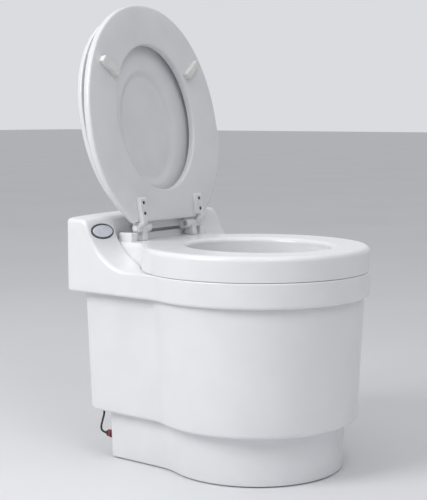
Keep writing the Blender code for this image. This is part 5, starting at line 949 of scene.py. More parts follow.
@dataclass
class Collar:
    """Collar with its raised rear deck: the skirt, two arms that sweep up, the arched deck and the recess."""

    low: float = 299.8
    floor: float = 341.8
    rise: float = 84.0
    crown: float = 6.0
    crown_radius: float = 2766.4
    slope_end: float = 60.0
    ramp_radius: float = 100.0
    ramp_angle: float = math.radians(69)
    ramp_start: float = 127.245
    blend: float = 8.0
    wall: float = 4.0
    lower_edge: float = 5.0
    front_edge: float = 2.5
    arm_edge: float = 7.0
    hole: float = 158.0
    ledge: float = 6.0
    ramp_low: float = 127.0
    ramp_high: float = 231.0
    rounding_from: float = 100.0
    rounding_over: float = 60.0
    inner_round: float = 4.0
    outline: Keyhole = Keyhole(197.0, 182.1, 277.0, 12.0, 80.0)
    recess: Keyhole = Keyhole(197.1, 115.0, 228.218, 11.0, 39.0)

    def top_at(self, points: Array) -> Array:
        """Height of the upper face: the ramp (flat, arc, slope) and the crown, melted where they meet.

        The ramp's arc is floor + R - sqrt(R^2 - (y - start)^2). The crown is a long arc across x. The
        smaller of the two holds, as -k log(exp(-ramp / k) + exp(-crown / k)).

        Args:
            points: Points, (..., 2).

        Returns:
            Their heights.
        """
        x, y = points[..., 0], points[..., 1]
        run = np.clip(y - self.ramp_start, 0, None)
        reach = self.ramp_radius * math.sin(self.ramp_angle)
        bend = self.ramp_radius - np.sqrt(self.ramp_radius ** 2 - np.minimum(run, reach) ** 2)
        ramp = self.floor + bend + np.clip(run - reach, 0, self.slope_end) * math.tan(self.ramp_angle)
        arch = self.floor + self.rise + self.crown \
            - (self.crown_radius - np.sqrt(self.crown_radius ** 2 - x ** 2))
        return -self.blend * np.logaddexp(-ramp / self.blend, -arch / self.blend)

    def stations(self) -> tuple[Array, Array]:
        """Matching points of the outer outline and of the recess's edge, as closed loops.

        Returns:
            Outer and inner loop, (n, 2) each.
        """
        _, behind, _ = self.outline.hollow()
        front, hollow, _, corner, _ = self.outline.right()
        inner_front, inner_hollow, _, _, _ = self.outline.inside(self.ledge).right()
        coarse, fine = 11, 71
        side_y = np.concatenate([np.linspace(behind, self.ramp_low, coarse)[1:],
                                 np.linspace(self.ramp_low, self.ramp_high, fine)[1:],
                                 np.linspace(self.ramp_high, self.outline.rear - self.outline.corner,
                                             coarse)[1:]])
        side = np.stack([np.full_like(side_y, self.outline.half), side_y], axis=1)
        back_x = np.linspace(self.outline.half - self.outline.corner, 0, 41)[1:]
        back = np.stack([back_x, np.full_like(back_x, self.outline.rear)], axis=1)
        outer = np.concatenate([front, hollow, side, corner, back])
        beside = side_y[:coarse + fine - 2]
        past = np.clip(beside - self.recess.rear, 0, None)
        edge_y = beside - past
        inner_side = np.stack([np.minimum(self.recess.side_at(edge_y) - past, self.outline.half - self.ledge),
                               edge_y], axis=1)
        rest = len(outer) - len(front) - len(hollow) - len(inner_side)
        rear_x = np.linspace(inner_side[-1, 0], 0, rest + 1)[1:]
        rear = np.stack([rear_x, np.full_like(rear_x, self.recess.rear)], axis=1)
        near = np.concatenate([inner_front, inner_hollow])
        limit = self.recess.side_at(near[:, 1])
        near[:, 0] = np.where(near[:, 1] > 0, np.minimum(near[:, 0], limit), near[:, 0])
        return mirrored(outer), mirrored(np.concatenate([near, inner_side, rear]))

    def form(self) -> Form:
        """Rings from the skirt's lower edge up, over the top, down the recess and back underneath.

        Returns:
            The form.
        """
        outer, inner = self.stations()
        grow = np.clip((outer[:, 1] - self.rounding_from) / self.rounding_over, 0, 1)
        round_out = self.front_edge + (self.arm_edge - self.front_edge) * grow ** 2 * (3 - 2 * grow)
        wall = self.top_at(inner) - self.floor
        round_in = np.clip(wall / 2, 0, self.inner_round)
        skirt_top = self.top_at(outer) - round_out
        rows = [level(drawn_in(outer, self.lower_edge * (1 - math.sin(a))),
                      self.low + self.lower_edge * (1 - math.cos(a))) for a in np.linspace(0, QUARTER, 7)]
        start = self.low + self.lower_edge
        rows += [level(outer, start + (skirt_top - start) * share) for share in np.linspace(0.1, 0.9, 6)]
        share = (0.5 - 0.5 * np.cos(np.linspace(0, math.pi, 30)))[:, None]
        across = outer + share[..., None] * (inner - outer)
        width = np.linalg.norm(inner - outer, axis=1)
        height = self.top_at(across) - self.edge_drop(share * width, round_out) \
            - self.edge_drop((1 - share) * width, round_in)
        rows += list(np.concatenate([across, height[..., None]], axis=2))
        rows.append(level(inner, self.floor))
        turn = np.arctan2(inner[:, 1], inner[:, 0])
        hole = self.hole * np.stack([np.cos(turn), np.sin(turn)], axis=1)
        rows += [level(hole, self.floor), level(hole, self.floor - self.wall)]
        hidden = drawn_in(inner, -self.wall * np.clip(wall / self.wall, 0, 1))
        rows.append(level(hidden, self.floor - self.wall))
        under = drawn_in(outer, self.wall)
        across = hidden + np.linspace(0, 1, 9)[:, None, None] * (under - hidden)
        roof = self.top_at(across) - self.wall - round_out * np.linspace(0, 1, 9)[:, None]
        rows += list(np.concatenate([across, np.maximum(roof, self.floor - self.wall)[..., None]], axis=2))
        rows += [level(under, self.low)]
        return Form().skin(np.stack(rows), endless=True)

    @staticmethod
    def edge_drop(distance: Array, radius: Array) -> Array:
        """How far a rounded edge lies below the face, radius - sqrt(radius^2 - (radius - distance)^2)."""
        left = np.clip(radius - distance, 0, None)
        return radius - np.sqrt(np.clip(radius ** 2 - left ** 2, 0, None))

    def build(self, button: "FlushButton") -> None:
        """Make the collar with the button's hole."""
        make("collar_deck_shell", self.form(), "casing", SHELL, ("collar_deck",),
             tuple((hole, Join.CUT) for hole in button.holes()))


@dataclass
class FlushButton:
    """Oval flush button in a dark bezel, square to the left arm's ramp."""

    frame: Placing = Placing((-148.0, 219.81, 403.96), math.acos(1 - 0.6216))
    half_x: float = 27.5
    half_y: float = 14.0
    rim: float = 1.4
    sink: float = 3.5
    proud: float = 1.6
    depth: float = 22.0
    floor: float = 2.4
    sleeve: float = 1.2
    play: float = 0.5
    button_proud: float = 2.6
    button_thick: float = 5.0
    stem: float = 2.6
    stem_low: float = -19.6
    cut_top: float = 28.0

    def ring(self, shrink: float, height: float) -> Array:
        """The bezel's oval drawn in by an inset, at a height of its frame."""
        return level(oval(self.half_x - shrink, self.half_y - shrink), height)

    def holes(self) -> list[Form]:
        """The hole through the ramp and the seat of the bezel's rim.

        Returns:
            Both cutters.
        """
        inside = self.rim - PLAY
        through = np.stack([self.ring(inside, -self.depth - 6), self.ring(inside, self.cut_top)])
        seat = np.stack([self.ring(-PLAY, -self.sink), self.ring(-PLAY, self.cut_top)])
        return [Form().skin(rows).moved(self.frame) for rows in (through, seat)]

    def build(self) -> None:
        """Make the bezel cup and the button on its stem."""
        well = self.rim + self.sleeve
        low = PLAY - self.sink
        lip = [self.ring((well + 0.3) * 0.5 * (1 - math.cos(a)), self.proud * (0.45 + 0.55 * math.sin(a)))
               for a in np.linspace(0, math.pi * 0.86, 9)]
        rows = [self.ring(self.rim, -self.depth), self.ring(self.rim, low), self.ring(0.0, low), *lip,
                self.ring(well, 0.0), self.ring(well, self.floor - self.depth)]
        stem_hole = Form().rod(self.stem + 0.4, -self.depth - 5, 5 - self.depth, ORIGIN, UPWARD)
        make("bezel_ring", Form().skin(np.stack(rows)).moved(self.frame), "casing", RING,
             ("button_bezel",), ((stem_hole.moved(self.frame), Join.CUT),))
        shrink = well + self.play
        bottom = self.button_proud - self.button_thick
        face = [self.ring(shrink + inset, self.button_proud - 1.5 + rise)
                for inset, rise in quarter_round(1.2, 5)]
        crown = [face[-1] * [share, share, 1.0] + [0.0, 0.0, 0.3 * (1 - share ** 2)]
                 for share in (0.9, 0.7, 0.45, 0.2)]
        stem = Form().rod(self.stem, self.stem_low, bottom + 1.0, ORIGIN, UPWARD)
        cap = Form().skin(np.stack([self.ring(shrink, bottom), *face, *crown]))
        make("button_cap", cap.moved(self.frame), "button", SILVER, ("flush_button",),
             ((stem.moved(self.frame), Join.ADD),))


@dataclass
class RimCover:
    """Lift-off rim cover: rounded rim, oval mouth, funnel, two hinge plinths and the ridge between them."""

    low: float = 342.7
    high: float = 383.7
    wall: float = 4.0
    edge: float = 9.0
    lip: float = 9.0
    mouth_x: float = 118.0
    mouth_y: float = 128.0
    mouth_centre: float = -8.0
    funnel_radius: float = 114.0
    funnel_low: float = 346.7
    outline: Keyhole = Keyhole(196.1, 114.0, 227.218, 10.0, 40.0)
    plinth: tuple[float, float, float, float, float] = (88.0, 106.0, 190.5, 222.2, 15.0)
    ridge: tuple[float, float, float, float, float] = (-91.0, 91.0, 213.0, 222.2, 11.0)
    taper: float = 1.5
    boss_corner: float = 3.2
    bolt: float = 69.2
    bolt_reach: float = 10.0

    def directions(self) -> Array:
        """Direction of each point of the outline, seen from the mouth's middle."""
        loop = self.outline.loop()
        return np.arctan2(loop[:, 1] - self.mouth_centre, loop[:, 0])

    def mouth(self, grow: float) -> Array:
        """The mouth's oval, grown outwards, at the outline's directions.

        Args:
            grow: How far it grows.

        Returns:
            Points, (n, 2).
        """
        turn = self.directions()
        reach = 1 / np.hypot(np.cos(turn) / (self.mouth_x + grow), np.sin(turn) / (self.mouth_y + grow))
        return np.stack([reach * np.cos(turn), self.mouth_centre + reach * np.sin(turn)], axis=1)

    def circle(self, radius: float) -> Array:
        """A circle about the bowl's axis, at the outline's directions."""
        turn = self.directions()
        return radius * np.stack([np.cos(turn), np.sin(turn)], axis=1)

    def form(self) -> Form:
        """Rings over the rim: wall, rounded edge, top, lip, funnel, and back under the hollow.

        Returns:
            The form.
        """
        rows = [level(self.outline.loop(), z) for z in np.linspace(self.low, self.high - self.edge, 5)[:-1]]
        rows += [level(self.outline.inside(inset).loop(), self.high - self.edge + rise)
                 for inset, rise in quarter_round(self.edge, 11)]
        crest_out, crest_in = self.outline.inside(self.edge).loop(), self.mouth(self.lip)
        rows += [level(crest_out + (crest_in - crest_out) * share, self.high)
                 for share in np.linspace(0, 1, 9)[1:-1]]
        rounding = quarter_round(self.lip, 11)[::-1] * np.array([-1.0, 1.0]) + np.array([self.lip, 0.0])
        rows += [level(self.mouth(self.lip - inset), self.high - self.lip + rise) for inset, rise in rounding]
        neck_top, neck_low = self.mouth(0.0), self.circle(self.funnel_radius)
        rows += [level(neck_top + (neck_low - neck_top) * share,
                       self.high - self.lip + (self.funnel_low - self.high + self.lip) * share)
                 for share in np.linspace(0, 1, 9)[1:]]
        under = self.high - self.wall
        rows += [level(self.circle(self.funnel_radius + self.wall), self.funnel_low),
                 level(self.mouth(self.wall + self.lip), under),
                 level(self.outline.inside(self.wall + self.edge / 2).loop(), under),
                 level(self.outline.inside(self.wall).loop(), under - self.edge / 2),
                 level(self.outline.inside(self.wall).loop(), self.low)]
        return Form().skin(np.stack(rows), endless=True)

    def boss(self, sizes: tuple[float, float, float, float, float]) -> Form:
        """A tapered block on the rim with rounded corners and a rounded top.

        Args:
            sizes: Left, right, front and rear place, and its height over the rim.

        Returns:
            The form.
        """
        left, right, front, rear, height = sizes
        middle = np.array([(left + right) / 2, (front + rear) / 2])
        half_x, half_y = (right - left) / 2, (rear - front) / 2
        root = self.high - self.wall / 2
        top = self.high + height
        rows = []
        for inset, z in ((0.0, root), (self.taper * 0.85, top - 2.2), (self.taper + 0.25, top - 0.9),
                         (self.taper + 0.9, top - 0.2), (self.taper + 2.0, top)):
            outline = round_rectangle(half_x - inset, half_y - inset, self.boss_corner - min(inset, 2.0))
            rows.append(level(outline + middle, z))
        return Form().skin(np.stack(rows))

    def build(self) -> None:
        """Make the cover with its plinths, ridge and bolt holes."""
        inner, outer, front, rear, height = self.plinth
        left = (-outer, -inner, front, rear, height)
        adds = [self.boss(sizes) for sizes in (self.plinth, left, self.ridge)]
        cuts = [Form().rod(BORE, -self.bolt_reach, self.bolt_reach,
                           (side * self.bolt, PIN[1], self.high), UPWARD) for side, _ in SIDES]
        make("rim_cover_shell", self.form(), "cover", SHELL, ("rim_cover",),
             tuple((form, Join.ADD) for form in adds) + tuple((form, Join.CUT) for form in cuts))


# Seat, lid and hinge

@dataclass
class Bumper:
    """Oblong pad that points at the hole's middle, rounded at its free end."""

    place: tuple[float, float]
    base: float
    height: float
    hole_centre: float = 196.6
    half_long: float = 22.5
    half_wide: float = 6.5
    corner: float = 3.0
    edge: float = 1.9

    def form(self, side: int) -> Form:
        """Rings from the base to the free end, whose edge draws in as a quarter round.

        Args:
            side: Minus one for the left, one for the right.

        Returns:
            The form.
        """
        x, reach = side * self.place[0], self.place[1]
        angle = math.atan2(-(reach - self.hole_centre), x)
        c, s = math.cos(angle), math.sin(angle)
        end = self.base + self.height
        sign = math.copysign(1.0, self.height)
        rows = []
        for inset, rise in ((0.0, -abs(self.height) + self.edge), (0.3, 0.0), *quarter_round(self.edge, 6)):
            outline = round_rectangle(self.half_long - inset, self.half_wide - inset, self.corner - inset / 2)
            turned = np.stack([outline[:, 0] * c - outline[:, 1] * s + x,
                               outline[:, 0] * s + outline[:, 1] * c - reach], axis=1)
            rows.append(level(turned, end + sign * (rise - self.edge)))
        return Form().skin(np.stack(rows)).moved(RAISED)


@dataclass
class Seat:
    """Seat ring with its bumpers, two hooked hinge arms and their sunk screws, shown raised."""

    drop: float = 10.4
    thick: float = 17.0
    leaf: Leaf = Leaf(175.0, 173.4, 227.7, 197.2, 2.12, 1.94, 94.6, 9.8)
    hole_x: float = 103.0
    hole_y: float = 131.5
    hole_centre: float = 196.6
    bumper: Bumper = field(default_factory=lambda: Bumper((112.0, 285.0), -10.7, -10.9))
    arm_in: float = 69.0
    arm_width: float = 17.0
    arm_proud: float = 9.6
    arm_step: float = 15.0
    arm_reach: float = 53.0
    hook_in: float = 75.8
    hook_width: float = 10.0
    lobe: float = 8.0
    screws: tuple[float, float] = (24.0, 43.0)
    screw_radius: float = 3.1
    screw_sink: float = 2.6
    pocket: float = 3.4
    bore_at: float = 80.8

    def section(self) -> Array:
        """Shares of the way from the outer edge to the hole and of the thickness, as a smooth line.

        Returns:
            Points, (n, 2).
        """
        shares = np.array([(0.11, 0.0), (0.045, 0.03), (0.01, 0.15), (0.0, 0.36), (0.0, 0.6), (0.04, 0.85),
                           (0.14, 0.97), (0.42, 1.0), (0.8, 0.99), (0.94, 0.92), (0.99, 0.74), (1.0, 0.45),
                           (0.998, 0.22), (0.98, 0.06), (0.94, 0.0)])
        return smooth_line(shares, 4)

    def form(self) -> Form:
        """Rings: outline + share (hole - outline) at the section's heights, closed under the ring.

        Returns:
            The form.
        """
        outline, turn = self.leaf.loop()
        hole = np.stack([self.hole_x * np.sin(turn), -(self.hole_centre + self.hole_y * np.cos(turn))],
                        axis=1)
        section = self.section()
        flat = outline + section[:, None, 0:1] * (hole - outline)
        z = np.broadcast_to((section[:, 1] * self.thick - self.drop)[:, None, None], (*flat.shape[:2], 1))
        return Form().skin(np.concatenate([flat, z], axis=2), endless=True).moved(RAISED)

    def arm(self, side: int) -> tuple[Form, Form]:
        """The bar along the seat's underside, and the hook that takes the pin.

        Args:
            side: Minus one for the left, one for the right.

        Returns:
            The bar and the hook.
        """
        top = -self.drop - PLAY
        low = top - self.arm_proud
        near = side * self.arm_in
        far = side * (self.arm_in + self.arm_width)
        bar = np.array([[-self.arm_reach, top], [-self.arm_reach, low + 3.0], [-self.arm_reach + 3.5, low],
                        [-self.arm_step, low], [-self.arm_step, top]])
        lobe = arc((0.0, 0.0), self.lobe, math.pi, -0.55 * math.pi, 26)
        bend = np.array([[-8.0, low - 1.2], [-19.3, low - 1.2], [-23.6, low + PLAY], [-23.6, top - PLAY],
                         [-9.2, top - PLAY]])
        hook = np.concatenate([lobe, bend])
        hook_out = self.hook_in + self.hook_width
        return (Form().plate(bar, near, far).moved(RAISED),
                Form().plate(hook, side * self.hook_in, side * hook_out).moved(RAISED))

    def build(self) -> None:
        """Make the ring, bumpers, arms and screws."""
        make("seat_ring_shell", self.form(), "seat", SEAT_ENAMEL, ("seat_ring",))
        low = -self.drop - PLAY - self.arm_proud
        for side, name in SIDES:
            make(f"seat_bumper_pad_{name}", self.bumper.form(side), "seat", BUMPER,
                 (f"seat_bumper_{name}",))
            bar, hook = self.arm(side)
            middle = side * (self.arm_in + self.arm_width / 2)
            bore = Form().rod(BORE, -THROUGH, THROUGH, (side * self.bore_at, PIN[1], PIN[2]), ACROSS)
            pockets = [Form().rod(self.pocket, -3.6, 6.0, (middle, -reach, low), DOWNWARD).moved(RAISED)
                       for reach in self.screws]
            make(f"seat_arm_{name}_moulding", bar, "seat", NYLON, (f"seat_arm_{name}",),
                 ((hook, Join.ADD), (bore, Join.CUT), *((pocket, Join.CUT) for pocket in pockets)), edge=0.7)
            for i, reach in enumerate(self.screws):
                place = RAISED.of(np.array([middle, -reach, low + self.screw_sink]))
                make(f"arm_screw_{name}_{i + 1}", screw_head(place, RAISED_DOWN, self.screw_radius), "seat",
                     BLACKED)


@dataclass
class Lid:
    """Lid, dished on its inner face, with its bumpers and the two knuckles on the pins, shown raised."""

    lift: float = 13.0
    thick: float = 11.9
    dish: float = 6.0
    dish_x: float = 60.0
    dish_y: float = 91.0
    dish_centre: float = 182.0
    dish_slope: float = 16.0
    edge: float = 6.0
    leaf: Leaf = Leaf(166.0, 201.5, 188.5, 198.0, 2.1, 2.1, 68.0, -2.5)
    bumper: Bumper = field(default_factory=lambda: Bumper((112.0, 298.0), 12.7, -5.8))
    knuckle_in: float = 50.0
    knuckle_width: float = 12.6
    barrel: float = 8.0
    strap_reach: float = 46.0
    strap_thick: float = 3.6
    bore_at: float = 56.3

    def oval(self, grow: float) -> Array:
        """The dish's oval, grown outwards, in the directions of the lid's outline from its middle.

        Args:
            grow: How far it grows.

        Returns:
            Points, (n, 2).
        """
        loop = self.leaf.loop()[0]
        turn = np.arctan2(loop[:, 1] + self.dish_centre, loop[:, 0])
        reach = 1 / np.hypot(np.cos(turn) / (self.dish_x + grow), np.sin(turn) / (self.dish_y + grow))
        return np.stack([reach * np.cos(turn), reach * np.sin(turn) - self.dish_centre], axis=1)

    def form(self) -> Form:
        """Rings from the dish's middle outwards: smooth slope, flat border, round edge and outer face.

        The slope's height falls by the dish's depth as share^2 (3 - 2 share) of its width.

        Returns:
            The form.
        """
        floor = self.lift + self.dish
        rows = [level(self.oval(-inset), floor) for inset in (45.0, 30.0, 15.0, 4.0)]
        for share in np.linspace(0, 1, 10):
            height = floor - self.dish * share * share * (3 - 2 * share)
            rows.append(level(self.oval(self.dish_slope * share), height))
        border = self.leaf.inside(self.edge).loop()[0]
        inner = self.oval(self.dish_slope)
        rows += [level(inner + (border - inner) * share, self.lift) for share in (0.25, 0.5, 0.75, 0.95)]
        shares = np.array([(0.25, 0.0), (0.07, 0.05), (0.0, 0.2), (0.0, 0.5), (0.08, 0.72), (0.3, 0.89),
                           (0.62, 0.97), (1.0, 1.0)])
        for inward, up in smooth_line(shares, 3):
            rows.append(level(self.leaf.inside(self.edge * inward).loop()[0], self.lift + self.thick * up))
        return Form().skin(np.stack(rows)).moved(RAISED)

    def knuckle(self, side: int) -> Form:
        """Barrel on the pin with a strap along the lid's inner face.

        Args:
            side: Minus one for the left, one for the right.

        Returns:
            The form.
        """
        top = self.lift - PLAY
        low = top - self.strap_thick
        barrel = arc((0.0, 0.0), self.barrel, 0.72 * math.pi, ROUND, 26)
        strap = np.array([[self.barrel, top], [-self.strap_reach, top], [-self.strap_reach, low + 1.6],
                          [-self.strap_reach + 2.0, low], [-self.barrel - 1.2, low]])
        near = side * self.knuckle_in
        path = np.concatenate([barrel, strap])
        return Form().plate(path, near, near + side * self.knuckle_width).moved(RAISED)

    def build(self) -> None:
        """Make the lid, its bumpers and knuckles."""
        make("lid_shell", self.form(), "raised_lid", SEAT_ENAMEL, ("lid",))
        for side, name in SIDES:
            make(f"lid_bumper_pad_{name}", self.bumper.form(side), "raised_lid", BUMPER,
                 (f"lid_bumper_{name}",))
            bore = Form().rod(BORE, -THROUGH, THROUGH, (side * self.bore_at, PIN[1], PIN[2]), ACROSS)
            make(f"lid_knuckle_{name}_moulding", self.knuckle(side), "raised_lid", NYLON,
                 (f"lid_knuckle_{name}",), ((bore, Join.CUT),), edge=0.7)


@dataclass
class HingePosts:
    """Two posts on the rim cover, each with the pin that carries the lid's knuckle and the seat's arm."""

    inner: float = 63.0
    width: float = 12.4
    low: float = 384.0
    half_depth: float = 7.6
    front: float = 10.0
    rear: float = 14.0
    foot: float = 4.0
    lobe: float = 8.0
    pin: float = 4.0
    pin_in: float = 49.6
    pin_out: float = 86.2
    cap_radius: float = 6.0
    cap_length: float = 3.0
    socket_depth: float = 4.3

    def form(self, side: int) -> Form:
        """Side view drawn out: spread foot, waist and round head.

        Args:
            side: Minus one for the left, one for the right.

        Returns:
            The form.
        """
        y, z = PIN[1], PIN[2]
        head = arc((y, z), self.lobe, -0.1 * math.pi, 1.1 * math.pi, 26)
        path = np.array([[y - self.front, self.low], [y + self.rear, self.low],
                         [y + self.rear, self.low + self.foot],
                         [y + self.half_depth + 2.6, self.low + self.foot + 3.4],
                         [y + self.half_depth, z - self.lobe]])
        close = np.array([[y - self.half_depth, z - self.lobe],
                          [y - self.half_depth - 0.8, self.low + self.foot + 3.4],
                          [y - self.front, self.low + self.foot]])
        near = side * self.inner
        return Form().plate(np.concatenate([path, head, close]), near, near + side * self.width)

    def build(self) -> None:
        """Make the posts and the pins."""
        for side, name in SIDES:
            middle = side * (self.inner + self.width / 2)
            bore = Form().rod(self.pin + PLAY, -THROUGH, THROUGH, (middle, PIN[1], PIN[2]), ACROSS)
            socket = Form().rod(BORE, -6.0, self.socket_depth, (middle, PIN[1], self.low), UPWARD)
            make(f"hinge_post_{name}_moulding", self.form(side), "cover", NYLON,
                 (f"hinge_post_{name}",), ((bore, Join.CUT), (socket, Join.CUT)), edge=0.8)
            rod = np.array([[0.0, self.pin_in], [self.pin - 0.7, self.pin_in], [self.pin, self.pin_in + 0.7],
                            [self.pin, self.pin_out - PLAY], [0.0, self.pin_out - PLAY]])
            make(f"hinge_pin_{name}_rod", Form().turned(rod, PIN, side * ACROSS), "cover", ROD,
                 (f"hinge_pin_{name}",))
            flatter = (self.cap_length - 1.0) / self.cap_radius
            dome = quarter_round(self.cap_radius, 8) * np.array([-1.0, flatter])
            cap = np.concatenate([[[0.0, self.pin_out], [self.cap_radius, self.pin_out]],
                                  dome + np.array([self.cap_radius, self.pin_out + 1.0])])
            make(f"hinge_pin_{name}_cap", Form().turned(cap, PIN, side * ACROSS), "cover",
                 NYLON)


# Inside the bowl, and the power lead

@dataclass
class Liner:
    """Film liner: drawn over the cartridge, pleated down the drum and twisted shut at the bottom."""

    neck: float = 111.3
    belly: float = 127.4
    top: float = 338.4
    neck_low: float = 255.7
    shoulder: float = 241.0
    low: float = 121.6
    pleats: int = 34
    depth: float = 1.5
    twist: float = 1.5
    wander: float = 0.05
    wave: float = 0.7
    film: float = 0.35
    calm: float = 40.0
    steps: int = 272
    # Heights in metres near the film's bottom and at its neck's lower end
    blend_low: float = 0.1214
    blend_high: float = 0.2557

    def line(self) -> Array:
        """Radius and height from the mouth down to the knot in the middle of the bottom.

        Returns:
            Points, (n, 2).
        """
        knots = np.array([[self.neck, self.top], [self.neck, 300.0], [self.neck, self.neck_low],
                          [119.0, 249.0], [self.belly, self.shoulder], [self.belly, 190.0],
                          [self.belly, 146.0], [120.0, 127.0], [104.0, self.low + 1.0],
                          [60.0, self.low + 1.6], [20.0, self.low + 4.0], [7.0, self.low + 9.0],
                          [1.2, self.low + 11.0]])
        return smooth_line(knots, 8)

    def form(self) -> Form:
        """Radius less depth (1 + cos(k a + twist)) and slow waves, twisted more towards the knot.

        Returns:
            The form.
        """
        line = self.line()
        turn = np.linspace(0, ROUND, self.steps, endpoint=False)[None, :]
        radius, height = line[:, 0:1], line[:, 1:2]
        down = np.clip((self.top - height) / (self.top - self.low), 0, 1)
        inward = np.clip(1 - radius / self.belly, 0, 1)
        twist = turn + inward * self.twist + self.wander * np.sin(5 * turn + 9 * down)
        fold = self.depth * (0.35 + down) * (1 + np.cos(self.pleats * twist)) / 2
        fold = fold + self.wave * down * (1 + np.sin(7 * turn + 13 * down)) / 2
        lean = np.clip(radius / self.calm, 0, 1)
        reach = np.clip(radius - fold * lean, 0.4, None)
        rise = height + fold * 0.9 * np.clip(inward * 4, 0, 1) * lean
        outer = np.stack([reach * np.cos(turn), reach * np.sin(turn), rise], axis=2)
        within = reach - self.film * lean
        inner = np.stack([within * np.cos(turn), within * np.sin(turn),
                          rise + self.film * (1 - lean * 0.5)], axis=2)
        inner[0, :, 2] = rise[0]
        return Form().skin(np.concatenate([outer[::-1], inner]))

    def build(self) -> None:
        """Make the film, free of the body that carried it, its place baked into its points."""
        film = make("liner_film_skin", self.form(), "cartridge", FILM, ("liner_film",),
                    sharp=70.0)
        # Riding gave it a parent, which is taken off again.
        film.parent = None
        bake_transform(film)


@dataclass
class PowerLead:
    """Short lead from the tub's gland to the inlet in the base, with its plug and red ring."""

    inlet: Triple = (-118.0, 0.0, 38.0)
    face: float = 220.334
    radius: float = 1.75
    gland: Triple = (-124.0, 242.5, 87.1)
    plug_start: float = 222.634
    plug_length: float = 16.0
    tail_length: float = 6.0

    def route(self) -> Array:
        """Knots from the gland down, to the rear and round into the plug's tail.

        Returns:
            Points, (n, 3).
        """
        tail = self.plug_start + self.plug_length + self.tail_length + PLAY
        x, y, z = self.gland
        knots = np.array([[x, y, z - PLAY], [x, y, 74.0], [x + 0.5, y + 4.0, 62.0], [x + 2.0, y + 9.0, 50.0],
                          [x + 4.0, y + 10.0, 42.0], [self.inlet[0], tail + 3.5, self.inlet[2]],
                          [self.inlet[0], tail, self.inlet[2]]])
        return smooth_line(knots, 8)

    def build(self) -> None:
        """Make the lead, gland, inlet, plug and ring."""
        make("power_lead_tube", Form().tube(self.route(), self.radius), "casing", RUBBER,
             ("power_lead",))
        x, y, z = self.gland
        nose = z - 8.0
        ribs = np.array([[4.2 - 0.12 * i - (0.35 if i % 2 else 0.0), z - 0.9 * i] for i in range(9)])
        profile = np.concatenate([[[2.05, 95.0], [5.0, 95.4], [5.5, 94.6], [5.5, 91.4], [4.2, 91.4]], ribs,
                                  [[2.9, nose], [2.05, nose]]])
        make("lead_gland_grommet", Form().turned(profile, (x, y, 0.0), UPWARD, endless=True), "casing",
             RUBBER, ("lead_gland",))
        out = self.face + 2.0
        socket = np.array([[0.0, 212.4], [4.2, 212.4], [4.2, out - 0.4], [4.6, out], [9.6, out],
                           [10.5, out - 0.9], [10.5, self.face], [7.6, self.face], [7.6, 205.8],
                           [0.0, 205.8]])
        make("power_inlet", Form().turned(socket, self.inlet, REARWARD), "casing", BLACK_ABS,
             ("power_socket",))
        start = self.plug_start
        end = start + self.plug_length
        ring = start + 6.3
        plug = np.array([[0.0, end + 6.0], [2.4, end + 6.0], [2.7, end + 4.6], [3.1, end + 4.4],
                         [2.9, end + 3.2], [3.3, end + 3.0], [3.1, end + 1.8], [3.4, end + 1.6],
                         [3.4, end + 0.2], [5.2, end - 0.2], [6.2, end - 1.2], [6.2, ring + 3.7],
                         [5.3, ring + 3.7], [5.3, ring - PLAY], [6.2, ring - PLAY], [6.2, start + 0.6],
                         [5.6, start], [3.8, start], [3.8, start - 7.4], [3.2, start - 8.0],
                         [0.0, start - 8.0]])
        make("power_plug_body", Form().turned(plug, self.inlet, REARWARD), "casing",
             BLACK_ABS, ("power_plug",))
        band = np.array([[5.6, ring], [6.7, ring], [7.1, ring + 0.6], [7.1, ring + 2.8], [6.7, ring + 3.4],
                         [5.6, ring + 3.4]])
        make("plug_ring_band", Form().turned(band, self.inlet, REARWARD, endless=True), "casing",
             RED, ("plug_ring",))


@dataclass
class Works:
    """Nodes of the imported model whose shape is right: each takes the finish of its material slot."""

    finishes: dict[str, Finish] = field(default_factory=lambda: {
        "gloss_white": SHELL, "seat_white": SEAT_ENAMEL, "hinge_nylon": NYLON, "bumper_rubber": BUMPER,
        "black_rubber": RUBBER, "black_plastic": BLACK_ABS, "grey_plastic": GREY_PP, "silver_face": SILVER,
        "dark_ring": RING, "red_ring": RED, "film_silver": FILM, "zinc_steel": ZINC, "brass": BRASS,
        "acetal": ACETAL, "circuit_board": BOARD, "foam_gasket": FOAM})

    def dress(self) -> None:
        """Give every node that still shows its finish."""
        for part in frame["record"]["subparts"]:
            node = frame["nodes"][part["node"]]
            if node.hide_render:
                continue
            finish = self.finishes[part["material_slot"]]
            for place in node.material_slots:
                place.material = finish.material()
            LOG.info("%s keeps its shape, finish %s", node.name, finish.name)


# Studio

